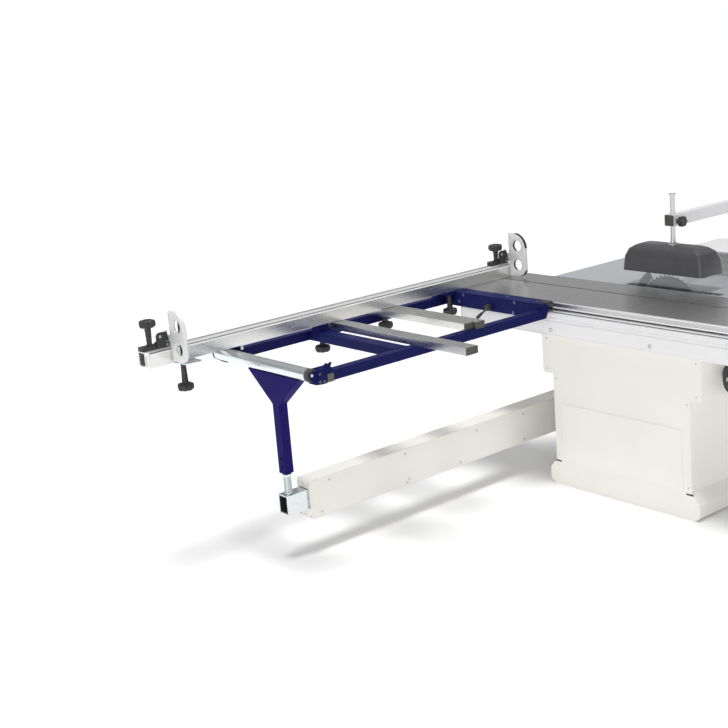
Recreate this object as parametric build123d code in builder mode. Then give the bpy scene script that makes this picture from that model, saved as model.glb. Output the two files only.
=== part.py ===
"""Sliding-table panel saw: cabinet, sliding carriage, outrigger with crosscut fence, swing arm and saw unit.

Millimetres, +Z up. The origin is the centre of the cabinet's footprint on the floor. The operator stands
at -Y and pushes the carriage towards +Y; the outrigger is on the -X side and the rip fence on the +X side.
"""

import os

from build123d import *

os.makedirs("parts", exist_ok=True)

# Driving dimensions
table_z = 860.0
cabinet_half_width, cabinet_half_depth, sheet = 340.0, 372.0, 3.0
shoulder_z, shoulder_half_depth, cabinet_top_z = 520.0, 430.0, 701.0
wall_top_z = 815.0
plinth_z, plinth_half_depth = 74.0, 412.0
carriage_left, carriage_right, carriage_bottom = -360.0, 52.0, 812.0
carriage_front, carriage_back = -1091.0, 909.0
beam_left, beam_right, beam_bottom, beam_top = -358.0, -130.0, 701.0, 808.0
beam_front, beam_back = -1075.0, 925.0
rod_radius, cage_wheel_radius, rod_z = 6.0, 9.85, 786.0
rod_xs = (-318.0, -170.0)

tube, tube_wall, tube_top = 40.0, 3.0, 830.0
near_tube_y, far_tube_y = 359.0, 975.0
frame_end_x, channel_x = -1670.0, -426.0
channel_bottom, channel_top, channel_sheet = 790.0, 857.0, 6.0
brace_x, brace_width = -1209.0, 60.0
bar_height = 30.0
roller_x, roller_z, roller_radius, roller_front, roller_back = -1702.0, 833.0, 26.0, 350.0, 965.0

fence_y, fence_bottom, fence_left, fence_right = 885.0, 862.0, -1970.0, -54.0
fence_depth, fence_top, fence_ledge = 56.0, 930.0, 917.0
extension_left, extension_reach = -2076.0, 550.0
pivot_x, knob_y = -448.0, 907.0
lever_y, lever_z, lever_heading, lever_screw_radius = 659.0, 810.0, -37.0, 6.0
right_knob_x, left_knob_x = -129.0, -2052.0
right_knob_z, left_knob_z = 1006.0, 1029.0
right_plate_x, left_plate_x = -66.5, -1972.0

arm_pivot_x, arm_y, arm_end_x = -20.0, 624.0, -1580.0
arm_width, arm_bottom, arm_top, arm_sheet = 90.0, 154.0, 319.0, 3.0
inner_tube_end_x, inner_tube_width, inner_tube_bottom, inner_tube_top = -1690.0, 60.0, 200.0, 282.0
post_x, post_size, post_bottom = -1659.0, 42.0, 372.0

main_table_left, main_table_right, main_table_front, main_table_back = 58.0, 560.0, -430.0, 705.0
extension_table_left, extension_table_right = 562.0, 1220.0
table_skin, table_rim = 12.0, 45.0
blade_x, arbor_y, arbor_z = 95.0, 60.0, 762.5
blade_radius, blade_thickness = 157.5, 3.2
motor_drop, motor_radius = 285.0, 72.0
scoring_y, scoring_rise = -157.0, 38.0
arbor_pulley_radius, motor_pulley_radius = 35.0, 50.0
pulley_left, pulley_right = blade_x + 152, blade_x + 176
segment_radius = 211.0
rail_y, rail_z, rail_radius = -470.0, 800.0, 20.0
rip_face_x = 450.0
mast_x, mast_size, boom_z = 1255.0, 60.0, 1160.0
hood_left, hood_right, hood_front, hood_back = 50.0, 210.0, -150.0, 290.0
hood_bottom, hood_top = 931.0, 1046.0
spindle_top = boom_z + 110

running = 0.05
gap = 0.4


def block(x0, x1, y0, y1, z0, z1, mode=Mode.ADD):
    """Box between two corners, in the part being built."""
    with Locations(((x0 + x1) / 2, (y0 + y1) / 2, (z0 + z1) / 2)):
        Box(x1 - x0, y1 - y0, z1 - z0, mode=mode)


def rod(axis, start, end, centre, radius, mode=Mode.ADD):
    """Cylinder along one axis; centre holds the other two coordinates in X, Y, Z order."""
    middle, length = (start + end) / 2, end - start
    if axis == "x":
        place, turn = (middle, centre[0], centre[1]), (0, 90, 0)
    elif axis == "y":
        place, turn = (centre[0], middle, centre[1]), (90, 0, 0)
    else:
        place, turn = (centre[0], centre[1], middle), (0, 0, 0)
    with Locations(place):
        Cylinder(radius, length, rotation=turn, mode=mode)


def save(name, part):
    """Label one finished piece and write it."""
    part.label = name
    export_step(part, f"parts/{name}.step")


def square_tube(axis, start, end, centre, width, height, wall):
    """Hollow rectangular tube along x or y; centre holds the cross coordinate and the mid height."""
    across, height_mid = centre
    for inset, mode in ((0, Mode.ADD), (wall, Mode.SUBTRACT)):
        left, right = across - width / 2 + inset, across + width / 2 - inset
        low, high = height_mid - height / 2 + inset, height_mid + height / 2 - inset
        if axis == "x":
            block(start, end, left, right, low, high, mode)
        else:
            block(left, right, start, end, low, high, mode)


wall_bottom = plinth_z + 46


# Cabinet: plinth tray, four walls and a raised pressing on the outrigger side
with BuildPart() as cabinet_base:
    plinth_outline = [
        (-plinth_half_depth + 24, 0), (plinth_half_depth - 24, 0),
        (plinth_half_depth, 20), (plinth_half_depth, plinth_z),
        (cabinet_half_depth, wall_bottom), (-cabinet_half_depth, wall_bottom),
        (-plinth_half_depth, plinth_z), (-plinth_half_depth, 20),
    ]
    with BuildSketch(Plane.YZ.offset(-cabinet_half_width)):
        Polygon(plinth_outline, align=None)
    extrude(amount=2 * cabinet_half_width)
    tray_x, tray_y = cabinet_half_width - 4, cabinet_half_depth - 4
    block(-tray_x, tray_x, -tray_y, tray_y, 5, 130, Mode.SUBTRACT)
    with BuildSketch(Plane.XY):
        with GridLocations(560, 640, 2, 2):
            Circle(7)
    extrude(amount=6, mode=Mode.SUBTRACT)
save("cabinet_base", cabinet_base.part)

with BuildPart() as cabinet_left_panel:
    outer, inner = -cabinet_half_width, -cabinet_half_width + sheet
    block(outer, inner, -cabinet_half_depth, cabinet_half_depth, wall_bottom, shoulder_z)
    block(outer, inner, -shoulder_half_depth, shoulder_half_depth, shoulder_z, cabinet_top_z)
    block(outer - 6, outer, -330, 330, wall_bottom + 2, 388)
    fillet(cabinet_left_panel.faces().sort_by(Axis.X)[0].edges(), radius=4)
    for low, high, depth in (
        (wall_bottom, shoulder_z, cabinet_half_depth),
        (shoulder_z, cabinet_top_z, shoulder_half_depth),
    ):
        edge = depth - sheet
        block(inner, inner + 22, edge - sheet, edge, low + 4, high - 2)
        block(inner, inner + 22, -edge, -edge + sheet, low + 4, high - 2)
save("cabinet_left_panel", cabinet_left_panel.part)


def end_wall(side):
    """Front or rear wall: lower sheet, shoulder and wider upper sheet."""
    inner, outer = cabinet_half_depth - sheet, cabinet_half_depth
    wide_inner, wide_outer = shoulder_half_depth - sheet, shoulder_half_depth
    left, right = -cabinet_half_width + sheet, cabinet_half_width - sheet
    profile = [
        (side * inner, wall_bottom), (side * outer, wall_bottom),
        (side * outer, shoulder_z), (side * wide_outer, shoulder_z),
        (side * wide_outer, cabinet_top_z), (side * wide_inner, cabinet_top_z),
        (side * wide_inner, shoulder_z + sheet), (side * inner, shoulder_z + sheet),
    ]
    with BuildSketch(Plane.YZ.offset(left)) as outline:
        Polygon(profile if side > 0 else profile[::-1], align=None)
    extrude(outline.sketch, amount=right - left)
    # The wall goes on up to the table beside the beam
    low, high = min(side * wide_inner, side * wide_outer), max(side * wide_inner, side * wide_outer)
    block(-120, right, low, high, cabinet_top_z, beam_top)
    block(0, right, low, high, beam_top, wall_top_z)


wheel_shaft_radius = 12.0
spigot_place, spigot_radius, spigot_bore = (200.0, 330.0), 50.0, 47.0
tilt_wheel_x, tilt_wheel_z = -180.0, 610.0
height_wheel_x, height_wheel_z = 170.0, 580.0
with BuildPart() as cabinet_front_panel:
    end_wall(-1)
    for wheel_place in ((tilt_wheel_x, tilt_wheel_z), (height_wheel_x, height_wheel_z)):
        rod("y", -shoulder_half_depth - 1, -shoulder_half_depth + sheet + 1, wheel_place,
            wheel_shaft_radius + running, Mode.SUBTRACT)
save("cabinet_front_panel", cabinet_front_panel.part)

with BuildPart() as cabinet_rear_panel:
    end_wall(1)
    inside, outside = cabinet_half_depth - sheet - 1, cabinet_half_depth + 1
    rod("y", inside, outside, spigot_place, spigot_bore, Mode.SUBTRACT)
    # Return along the side, framing the door from above
    right, strip = cabinet_half_width, cabinet_half_depth
    block(right - sheet, right, -shoulder_half_depth + sheet, shoulder_half_depth, cabinet_top_z, wall_top_z)
    for low, high in ((-shoulder_half_depth + sheet, -strip), (strip, shoulder_half_depth)):
        block(right - sheet, right, low, high, shoulder_z, cabinet_top_z)
save("cabinet_rear_panel", cabinet_rear_panel.part)

with BuildPart() as dust_port:
    spigot_x, spigot_z = spigot_place
    face, end = cabinet_half_depth, cabinet_half_depth + 74
    block(spigot_x - 60, spigot_x + 60, face, face + 4, spigot_z - 60, spigot_z + 60)
    rod("y", face + 4, end, spigot_place, spigot_radius)
    rod("y", face - 1, end + 1, spigot_place, spigot_bore, Mode.SUBTRACT)
save("dust_port", dust_port.part)

# The side away from the outrigger is one full-height door, hinged at its rear edge
door_x, door_bottom, door_top = cabinet_half_width + 1, wall_bottom + 4, 690.0
hinge_line = (cabinet_half_width + 8, cabinet_half_depth - 8)
latch_y, latch_z = -330.0, 420.0
with BuildPart() as cabinet_door:
    front, back = -cabinet_half_depth, cabinet_half_depth - 4
    block(door_x, door_x + sheet, front, back, door_bottom, door_top)
    block(door_x - 17, door_x, front + 8, front + 12, door_bottom + 16, door_top - 20)
    for low, high in ((180, 260), (560, 640)):
        rod("z", low, high, hinge_line, 6)
    rod("x", door_x + sheet, door_x + 29, (latch_y, latch_z), 14)
    block(door_x + 19, door_x + 29, latch_y - 4, latch_y + 4, latch_z - 40, latch_z + 40)
save("cabinet_door", cabinet_door.part)

# Guide beam with its two ground rods; the carriage rolls on them
recess_bottom = 780.0
with BuildPart() as guide_beam:
    with BuildSketch(Plane.XZ.offset(-beam_back)):
        with Locations(((beam_left + beam_right) / 2, (beam_bottom + beam_top) / 2)):
            Rectangle(beam_right - beam_left, beam_top - beam_bottom)
        with Locations(((beam_left + beam_right) / 2, (recess_bottom + beam_top) / 2)):
            Rectangle(176, beam_top - recess_bottom, mode=Mode.SUBTRACT)
        for cell_x in (-308, -244, -180):
            with Locations((cell_x, 740)):
                Rectangle(56, 66, mode=Mode.SUBTRACT)
        with Locations((beam_left, 768)):
            Rectangle(4, 3, mode=Mode.SUBTRACT)
    extrude(amount=beam_back - beam_front)
    for rod_x in rod_xs:
        block(rod_x - 8, rod_x + 8, beam_front + 10, beam_back - 10, recess_bottom - 1, rod_z)
        rod("y", beam_front + 10, beam_back - 10, (rod_x, rod_z), rod_radius)
save("guide_beam", guide_beam.part)

with BuildPart() as roller_cage:
    cage_front, cage_back = -541.0, 359.0
    block(-304, -184, cage_front, cage_back, 797, 803)
    wheel_z = rod_z + rod_radius + 0.15 + cage_wheel_radius
    wheel_ys = [cage_front + 50 + 133.3 * i for i in range(7)]
    for wheel_y in wheel_ys:
        rod("x", rod_xs[0] - 5, rod_xs[1] + 5, (wheel_y, 802), 4)
    for wheel_y in wheel_ys:
        for rod_x in rod_xs:
            rod("x", rod_x - 6, rod_x + 6, (wheel_y, wheel_z), cage_wheel_radius)
save("roller_cage", roller_cage.part)

# Sliding carriage: wide hollow extrusion, undercut beside the blade, grooved on top and at the left
with BuildPart() as carriage_profile:
    with BuildSketch(Plane.XZ.offset(-carriage_back)):
        Polygon(
            [
                (carriage_left, carriage_bottom), (-52, carriage_bottom),
                (-20, table_z - 16), (carriage_right, table_z - 16),
                (carriage_right, table_z), (carriage_left, table_z),
            ],
            align=None,
        )
        with Locations((-102, table_z - 4)):
            Rectangle(10, 8, mode=Mode.SUBTRACT)
        with Locations((-102, table_z - 11)):
            Rectangle(20, 7, mode=Mode.SUBTRACT)
        with Locations((carriage_left + 3, 826)):
            Rectangle(6, 10, mode=Mode.SUBTRACT)
        with Locations((carriage_left + 10, 826)):
            Rectangle(9, 16, mode=Mode.SUBTRACT)
        for cell_left, cell_right in ((-340, -272), (-266, -198), (-192, -124)):
            with Locations(((cell_left + cell_right) / 2, 835)):
                Rectangle(cell_right - cell_left, 38, mode=Mode.SUBTRACT)
    extrude(amount=carriage_back - carriage_front)
save("carriage_profile", carriage_profile.part)

# Outrigger frame: inverted channel beside the carriage, two long tubes, brace and end tube
with BuildPart() as outrigger_channel:
    channel_front, channel_back = near_tube_y - tube / 2, far_tube_y + tube / 2
    block(channel_x, channel_x + channel_sheet, channel_front, channel_back, channel_bottom, channel_top)
    block(channel_x, carriage_left, channel_front, channel_back, channel_top - channel_sheet, channel_top)
    block(carriage_left - channel_sheet, carriage_left, channel_front + 60, channel_back, 802, channel_top)
    end_plate_back = channel_front + channel_sheet
    block(channel_x, channel_x + 24, channel_front, end_plate_back, channel_bottom, channel_top)
    screw_bore = lever_screw_radius + running
    rod("x", channel_x - 1, carriage_left + 1, (lever_y, lever_z), screw_bore, Mode.SUBTRACT)
save("outrigger_channel", outrigger_channel.part)

tube_mid = tube_top - tube / 2
with BuildPart() as outrigger_long_tubes:
    for tube_y in (near_tube_y, far_tube_y):
        square_tube("x", frame_end_x, channel_x, (tube_y, tube_mid), tube, tube, tube_wall)
save("outrigger_long_tubes", outrigger_long_tubes.part)

brace_front, brace_back = near_tube_y + tube / 2, far_tube_y - tube / 2
with BuildPart() as outrigger_cross_tubes:
    square_tube("y", brace_front, brace_back, (brace_x, tube_mid), brace_width, tube, tube_wall)
    square_tube("y", brace_front, brace_back, (frame_end_x + tube / 2, tube_mid), tube, tube, tube_wall)
    # The fence stands on a seat on the brace
    block(brace_x - 28, brace_x + 28, knob_y - 22, knob_y + 26, tube_top, fence_bottom - gap)
save("outrigger_cross_tubes", outrigger_cross_tubes.part)

# Seat of the fence pivot, carried by the far tube, with the pivot pin standing out of it
with BuildPart() as fence_pivot_block:
    seat_left, seat_right, seat_underside = pivot_x - 34, channel_x - 1, 846.0
    block(seat_left, seat_right, knob_y - 22, far_tube_y + tube / 2, seat_underside, fence_bottom - gap)
    block(seat_left, seat_right, far_tube_y - tube / 2, far_tube_y + tube / 2, tube_top, seat_underside)
    rod("z", 850, fence_bottom + 4, (pivot_x, knob_y), 9)
save("fence_pivot_block", fence_pivot_block.part)

# Work-support bars lying across the tubes
bar_bottom = table_z - bar_height


def support_bar(left, right, front, back):
    """Extruded bar along Y, hollow, with a shallow groove along its top."""
    middle = (left + right) / 2
    with BuildSketch(Plane.XZ.offset(-back)) as outline:
        with Locations((middle, bar_bottom + bar_height / 2)):
            Rectangle(right - left, bar_height)
            Rectangle(right - left - 6, bar_height - 6, mode=Mode.SUBTRACT)
    extrude(outline.sketch, amount=back - front)


bar_back = far_tube_y + tube / 2
outer_bar = (-1161.0, -1099.0, 55.0)
inner_bars = ((-876.0, -826.0, 361.0), (-825.0, -778.0, 343.0))
with BuildPart() as support_bars:
    support_bar(*outer_bar, bar_back)
    for left, right, front in inner_bars:
        support_bar(left, right, front, bar_back)
save("support_bars", support_bars.part)

cap = 5.0
with BuildPart() as end_caps:
    for left, right, front in (outer_bar, *inner_bars):
        for start, end in ((front - cap, front), (bar_back, bar_back + cap)):
            block(left, right, start, end, bar_bottom, table_z)
    for start, end in ((carriage_front - 4, carriage_front), (carriage_back, carriage_back + 4)):
        block(carriage_left, -60, start, end, carriage_bottom, table_z)
    for tube_y in (near_tube_y, far_tube_y):
        block(frame_end_x - 4, frame_end_x, tube_y - tube / 2, tube_y + tube / 2, tube_top - tube, tube_top)
save("end_caps", end_caps.part)

# Fork plates that hold the end roller, and plastic sleeves on the tube ends
with BuildPart() as roller_brackets:
    for inner_y, outer_y in ((near_tube_y - tube / 2 - 6, near_tube_y - tube / 2),
                             (far_tube_y + tube / 2, far_tube_y + tube / 2 + 6)):
        rod("y", inner_y, outer_y, (roller_x, roller_z), 15)
        block(roller_x, frame_end_x + 26, inner_y, outer_y, tube_top - tube + 4, 848)
        rod("y", inner_y - 1, outer_y + 1, (roller_x, roller_z), 6 + running, Mode.SUBTRACT)
    for tube_y in (near_tube_y, far_tube_y):
        square_tube("x", -1628, -1590, (tube_y, tube_mid), tube + 8, tube + 8, 4)
save("roller_brackets", roller_brackets.part)

with BuildPart() as support_roller:
    rod("y", roller_front, roller_back, (roller_x, roller_z), roller_radius)
    rod("y", near_tube_y - tube / 2 - 6, far_tube_y + tube / 2 + 6, (roller_x, roller_z), 6)
save("support_roller", support_roller.part)

# Post under the outer end: square tube with a flared head that meets the end tube, and a screwed foot
post_half, post_sheet = post_size / 2, 3.0
head_bottom, head_half, head_top = 663.0, 172.0, tube_top - tube


def post_outline(inset):
    """Front view of post and head: straight sides that flare out towards the end tube."""
    half, wide = post_half - inset, head_half - 1.6 * inset
    Polygon(
        [
            (arm_y - half, post_bottom), (arm_y + half, post_bottom), (arm_y + half, head_bottom),
            (arm_y + wide, head_top), (arm_y - wide, head_top), (arm_y - half, head_bottom),
        ],
        align=None,
    )


with BuildPart() as support_post:
    with BuildSketch(Plane.YZ.offset(post_x - post_half)):
        post_outline(0)
    extrude(amount=post_size)
    with BuildSketch(Plane.YZ.offset(post_x - post_half + post_sheet)):
        post_outline(post_sheet)
    extrude(amount=post_size - 2 * post_sheet, mode=Mode.SUBTRACT)
save("support_post", support_post.part)

with BuildPart() as post_foot:
    rod("z", inner_tube_top + 1, post_bottom, (post_x, arm_y), 16.5)
    rod("z", post_bottom, post_bottom + 90, (post_x, arm_y), 12)
    rod("z", inner_tube_top + 1, inner_tube_top + 7, (post_x, arm_y), 21)
save("post_foot", post_foot.part)

# Hand knobs: a lobed head on a long neck
def star_knob(x, y, head_bottom, neck_end, neck_radius=12.0, head_radius=30.0, lobes=6):
    """Knob whose neck runs from neck_end to the head; the head is 22 tall, above or below its neck."""
    head_top = head_bottom + 22
    low, high = (head_top, neck_end) if neck_end > head_bottom else (neck_end, head_bottom)
    rod("z", low - (1 if neck_end > head_bottom else 0), high, (x, y), neck_radius)
    with BuildSketch(Plane.XY.offset(head_bottom)) as outline:
        with Locations((x, y)):
            Circle(head_radius - 4)
            with PolarLocations(head_radius - 9, lobes):
                Circle(9)
    extrude(outline.sketch, amount=22)


for name, x, head_bottom, neck_end in (
    ("brace_knob", brace_x, 738, tube_top - tube - gap),
    ("support_bar_knob", -845, 766, bar_bottom - gap),
    ("fence_pivot_knob", pivot_x, 750, 846 - gap),
):
    with BuildPart() as frame_knob:
        star_knob(x, knob_y, head_bottom, neck_end)
    save(name, frame_knob.part)

# Clamp lever outside the channel's web; its screw goes through the web and the lip to the carriage
with BuildPart() as frame_clamp_lever:
    rod("x", channel_x - 29, channel_x - 1, (lever_y, lever_z), 15)
    rod("x", channel_x - 2, carriage_left - 1, (lever_y, lever_z), lever_screw_radius)
    with Locations(Location((channel_x - 15, lever_y, lever_z), (lever_heading, 0, 0))):
        rod("y", 8, 60, (0, 0), 6)
        rod("y", 56, 98, (0, 0), 8)
save("frame_clamp_lever", frame_clamp_lever.part)


# Crosscut fence and its telescopic extension share one outline
def fence_outline():
    """Fence section in Y and Z: front face, top slot for the stops."""
    Polygon(
        [
            (fence_y, fence_bottom), (fence_y + fence_depth, fence_bottom), (fence_y + fence_depth, 915),
            (fence_y + 44, 915), (fence_y + 44, fence_top), (fence_y + 14, fence_top),
            (fence_y + 6, fence_ledge), (fence_y, fence_ledge),
        ],
        align=None,
    )
    with Locations((fence_y + 29, fence_top - 3)):
        Rectangle(8, 6, mode=Mode.SUBTRACT)
    with Locations((fence_y + 29, fence_top - 10)):
        Rectangle(16, 8, mode=Mode.SUBTRACT)


bore_y, bore_z, bore_width, bore_height = fence_y + 28, 888.0, 46.0, 38.0
with BuildPart() as fence_profile:
    with BuildSketch(Plane.YZ.offset(fence_left)):
        fence_outline()
        with Locations((bore_y, bore_z)):
            Rectangle(bore_width, bore_height, mode=Mode.SUBTRACT)
    extrude(amount=fence_right - fence_left)
    rod("z", fence_bottom - 1, fence_bottom + 8, (pivot_x, knob_y), 9 + running, Mode.SUBTRACT)
save("fence_profile", fence_profile.part)

with BuildPart() as fence_extension:
    with BuildSketch(Plane.YZ.offset(extension_left)):
        fence_outline()
        with Locations((bore_y, bore_z)):
            Rectangle(bore_width, bore_height, mode=Mode.SUBTRACT)
    extrude(amount=fence_left - gap - extension_left)
    block(extension_left + 60, fence_left - gap, bore_y - bore_width / 2, bore_y + bore_width / 2,
          bore_z - bore_height / 2, bore_z + bore_height / 2)
    half_width, half_height = bore_width / 2 - gap, bore_height / 2 - gap
    block(extension_left + 60, fence_left + extension_reach, bore_y - half_width, bore_y + half_width,
          bore_z - half_height, bore_z + half_height)
save("fence_extension", fence_extension.part)

lock_x = -1912.0
with BuildPart() as fence_clamp_plate:
    block(lock_x - 38, lock_x + 42, fence_y - 42, fence_y + 48, fence_bottom - 8, fence_bottom)
    rod("z", fence_bottom - 9, fence_bottom + 1, (lock_x, knob_y), 8 + running, Mode.SUBTRACT)
save("fence_clamp_plate", fence_clamp_plate.part)

with BuildPart() as extension_lock_knob:
    star_knob(lock_x, knob_y, 733, fence_bottom - 8 - gap)
    rod("z", fence_bottom - 10, fence_bottom - gap, (lock_x, knob_y), 8)
save("extension_lock_knob", extension_lock_knob.part)

# Flip stops: base with an upright ear on the fence, a swinging plate in front of it and a clamp knob
hinge_y, hinge_z, hinge_radius = fence_y + 7, 955.0, 5.0
base_bottom, base_top = fence_top + gap, 948.0
plate_thickness = 12.0


def stop_base(knob_x, plate_x):
    """Block on the fence's top slot, with an upright ear and the hinge pin of the plate."""
    ear_x = plate_x - 30.0
    block(knob_x - 45, plate_x - 0.5, fence_y + 8, fence_y + 44, base_bottom, base_top)
    with BuildSketch(Plane.XZ.offset(-(fence_y + 11.5))) as outline:
        with Locations((ear_x, 963)):
            RectangleRounded(56, 62, 9)
        with Locations((ear_x, 978)):
            Circle(6, mode=Mode.SUBTRACT)
    extrude(outline.sketch, amount=10.5)
    rod("x", ear_x + 12, plate_x + plate_thickness + 4, (hinge_y, hinge_z), hinge_radius)
    rod("z", base_bottom - 1, base_top + 1, (knob_x, fence_y + 24), 8 + running, Mode.SUBTRACT)


def stop_plate(plate_x):
    """Rounded plate that hangs in front of the fence face, with two round windows."""
    front, back, low, high = fence_y - 113, fence_y - 2, 872.0, 1076.0
    low_round, high_round = 42.0, 72.0
    tab_low, tab_high, tab_end = 936.0, 976.0, fence_y + 20
    with BuildSketch(Plane.YZ.offset(plate_x)) as outline:
        with BuildLine():
            Line((back, low), (front + low_round, low))
            TangentArc((front + low_round, low), (front, low + low_round), tangent=(-1, 0))
            Line((front, low + low_round), (front, high - high_round))
            TangentArc((front, high - high_round), (front + high_round, high), tangent=(0, 1))
            Polyline(
                (front + high_round, high), (back, high), (back, tab_high), (tab_end, tab_high),
                (tab_end, tab_low), (back, tab_low), (back, low),
            )
        make_face()
        with Locations((fence_y - 58, 1016), (fence_y - 58, 924)):
            Circle(26, mode=Mode.SUBTRACT)
        with Locations((hinge_y, hinge_z)):
            Circle(hinge_radius + running, mode=Mode.SUBTRACT)
    extrude(outline.sketch, amount=plate_thickness)


def stop_knob(knob_x, knob_z):
    """Clamp knob standing on the stop's base, with its screw going down through it."""
    star_knob(knob_x, fence_y + 24, knob_z, base_top + gap)
    rod("z", base_bottom + gap, base_top + 1, (knob_x, fence_y + 24), 8)


for side, knob_x, knob_z, plate_x in (
    ("left", left_knob_x, left_knob_z, left_plate_x),
    ("right", right_knob_x, right_knob_z, right_plate_x),
):
    with BuildPart() as stop_piece:
        stop_base(knob_x, plate_x)
    save(f"{side}_stop_base", stop_piece.part)
    with BuildPart() as stop_piece:
        stop_plate(plate_x)
    save(f"{side}_stop_plate", stop_piece.part)
    with BuildPart() as stop_piece:
        stop_knob(knob_x, knob_z)
    save(f"{side}_stop_knob", stop_piece.part)

# Swing arm: sheet-metal box around a telescopic square tube, on a pin behind the cabinet
with BuildPart() as swing_arm:
    half = arm_width / 2
    block(arm_end_x, arm_pivot_x - 30, arm_y - half, arm_y + half, arm_bottom, arm_top)
    block(arm_end_x + 6, arm_pivot_x - 60, arm_y - half + arm_sheet, arm_y + half - arm_sheet,
          arm_bottom + arm_sheet, arm_top - arm_sheet, Mode.SUBTRACT)
    mouth_half = inner_tube_width / 2 + gap
    block(arm_end_x - 1, arm_end_x + 7, arm_y - mouth_half, arm_y + mouth_half,
          inner_tube_bottom - gap, inner_tube_top + gap, Mode.SUBTRACT)
    rod("z", arm_bottom, arm_top, (arm_pivot_x, arm_y), 34)
    rod("z", arm_bottom - 1, arm_top + 1, (arm_pivot_x, arm_y), 15 + running, Mode.SUBTRACT)
save("swing_arm", swing_arm.part)

with BuildPart() as arm_tube:
    square_tube("x", inner_tube_end_x, -900, (arm_y, (inner_tube_bottom + inner_tube_top) / 2),
                inner_tube_width, inner_tube_top - inner_tube_bottom, 5)
save("arm_tube", arm_tube.part)

with BuildPart() as arm_hinge_bracket:
    block(-90, 50, cabinet_half_depth, cabinet_half_depth + 8, 130, 345)
    for low, high in ((arm_bottom - 18, arm_bottom - 3), (arm_top + 3, arm_top + 18)):
        block(-56, 16, cabinet_half_depth + 8, arm_y, low, high)
        rod("z", low, high, (arm_pivot_x, arm_y), 36)
    rod("z", arm_bottom - 18, arm_top + 26, (arm_pivot_x, arm_y), 15)
save("arm_hinge_bracket", arm_hinge_bracket.part)

# Main table: cast plate with a rim, open beside the carriage, and the slot of the blade
with BuildPart() as main_table:
    front, back = main_table_front, main_table_back
    rim_left, rim_bottom = main_table_left + 60, table_z - table_rim
    block(main_table_left, main_table_right, front, back, table_z - table_skin, table_z)
    block(rim_left, main_table_right, back - 12, back, rim_bottom, table_z)
    block(rim_left, main_table_right, front, front + 12, rim_bottom, table_z)
    block(main_table_right - 12, main_table_right, front, back, rim_bottom, table_z)
    for rib_y in (-250, shoulder_half_depth - 6):
        block(main_table_left + 80, main_table_right, rib_y - 6, rib_y + 6, rim_bottom, table_z)
    block(blade_x - 26, blade_x + 17, -225, 285, table_z - table_skin - 1, table_z + 1, Mode.SUBTRACT)
save("main_table", main_table.part)

with BuildPart() as extension_table:
    front, back = main_table_front, main_table_back - 100
    block(extension_table_left, extension_table_right, front, back, table_z - 4, table_z)
    for edge_y in (front, back - 3):
        block(extension_table_left, extension_table_right, edge_y, edge_y + 3, table_z - table_rim, table_z)
    for edge_x in (extension_table_left, extension_table_right - 3):
        block(edge_x, edge_x + 3, front, back, table_z - table_rim, table_z)
    for rib_y in (-150, 150, 400):
        block(extension_table_left, extension_table_right, rib_y, rib_y + 3, table_z - 30, table_z)
save("extension_table", extension_table.part)

with BuildPart() as rip_rail:
    rod("x", 62, 1215, (rail_y, rail_z), rail_radius)
    for bracket_x in (110, 620, 1180):
        left, right = bracket_x - 12, bracket_x + 12
        block(left, right, rail_y, main_table_front, rail_z - 12, rail_z + 12)
        block(left, right, main_table_front - 8, main_table_front, rail_z - 12, table_z - 6)
save("rip_rail", rip_rail.part)

with BuildPart() as rip_fence_body:
    block(rip_face_x + 14, rip_face_x + 110, rail_y - 32, rail_y + 27, rail_z - 34, rail_z + 34)
    block(rip_face_x + 14, rip_face_x + 110, rail_y - 32, main_table_front + 110, table_z + 6, table_z + 26)
    block(rip_face_x + 14, rip_face_x + 110, rail_y - 32, rail_y + 24, rail_z + 30, table_z + 26)
    block(rip_face_x + 14, rip_face_x + 40, rail_y - 32, main_table_front + 110, table_z + 6, table_z + 60)
    fillet(rip_fence_body.edges().filter_by(Axis.Z).group_by(Axis.Y)[0], radius=10)
    rod("x", rip_face_x, rip_face_x + 120, (rail_y, rail_z), rail_radius + running, Mode.SUBTRACT)
    # The sleeve is open at the back, where it passes the rail's brackets
    block(rip_face_x, rip_face_x + 120, rail_y, rail_y + 40, rail_z - 14, rail_z + 14, Mode.SUBTRACT)
save("rip_fence_body", rip_fence_body.part)

with BuildPart() as rip_fence_face:
    with BuildSketch(Plane.XZ.offset(-420)):
        with Locations((rip_face_x, table_z + 51)):
            Rectangle(26, 98)
        for cell_z in (table_z + 26, table_z + 76):
            with Locations((rip_face_x, cell_z)):
                Rectangle(18, 40, mode=Mode.SUBTRACT)
    extrude(amount=420 - (main_table_front + 4))
save("rip_fence_face", rip_fence_face.part)

with BuildPart() as rip_fence_lever:
    rod("x", rip_face_x + 50, rip_face_x + 74, (rail_y - 44, rail_z - 6), 11)
    block(rip_face_x + 55, rip_face_x + 69, rail_y - 54, rail_y - 42, rail_z - 120, rail_z - 6)
    rod("z", rail_z - 150, rail_z - 90, (rip_face_x + 62, rail_y - 48), 12)
save("rip_fence_lever", rip_fence_lever.part)

# Saw unit: trunnion guides under the table, tilting cradle, arbor unit that rises in it
guide_planes = ((-216.0, -200.0), (332.0, 348.0))
cradle_plates = ((-198.0, -183.0), (315.0, 330.0))
with BuildPart() as trunnion_guides:
    for start, end in guide_planes:
        block(blade_x + 60, blade_x + 235, start, end, table_z - 240, table_z - table_skin)
        rod("y", start - 1, end + 1, (blade_x, table_z), segment_radius + 0.5, Mode.SUBTRACT)
save("trunnion_guides", trunnion_guides.part)

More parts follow.
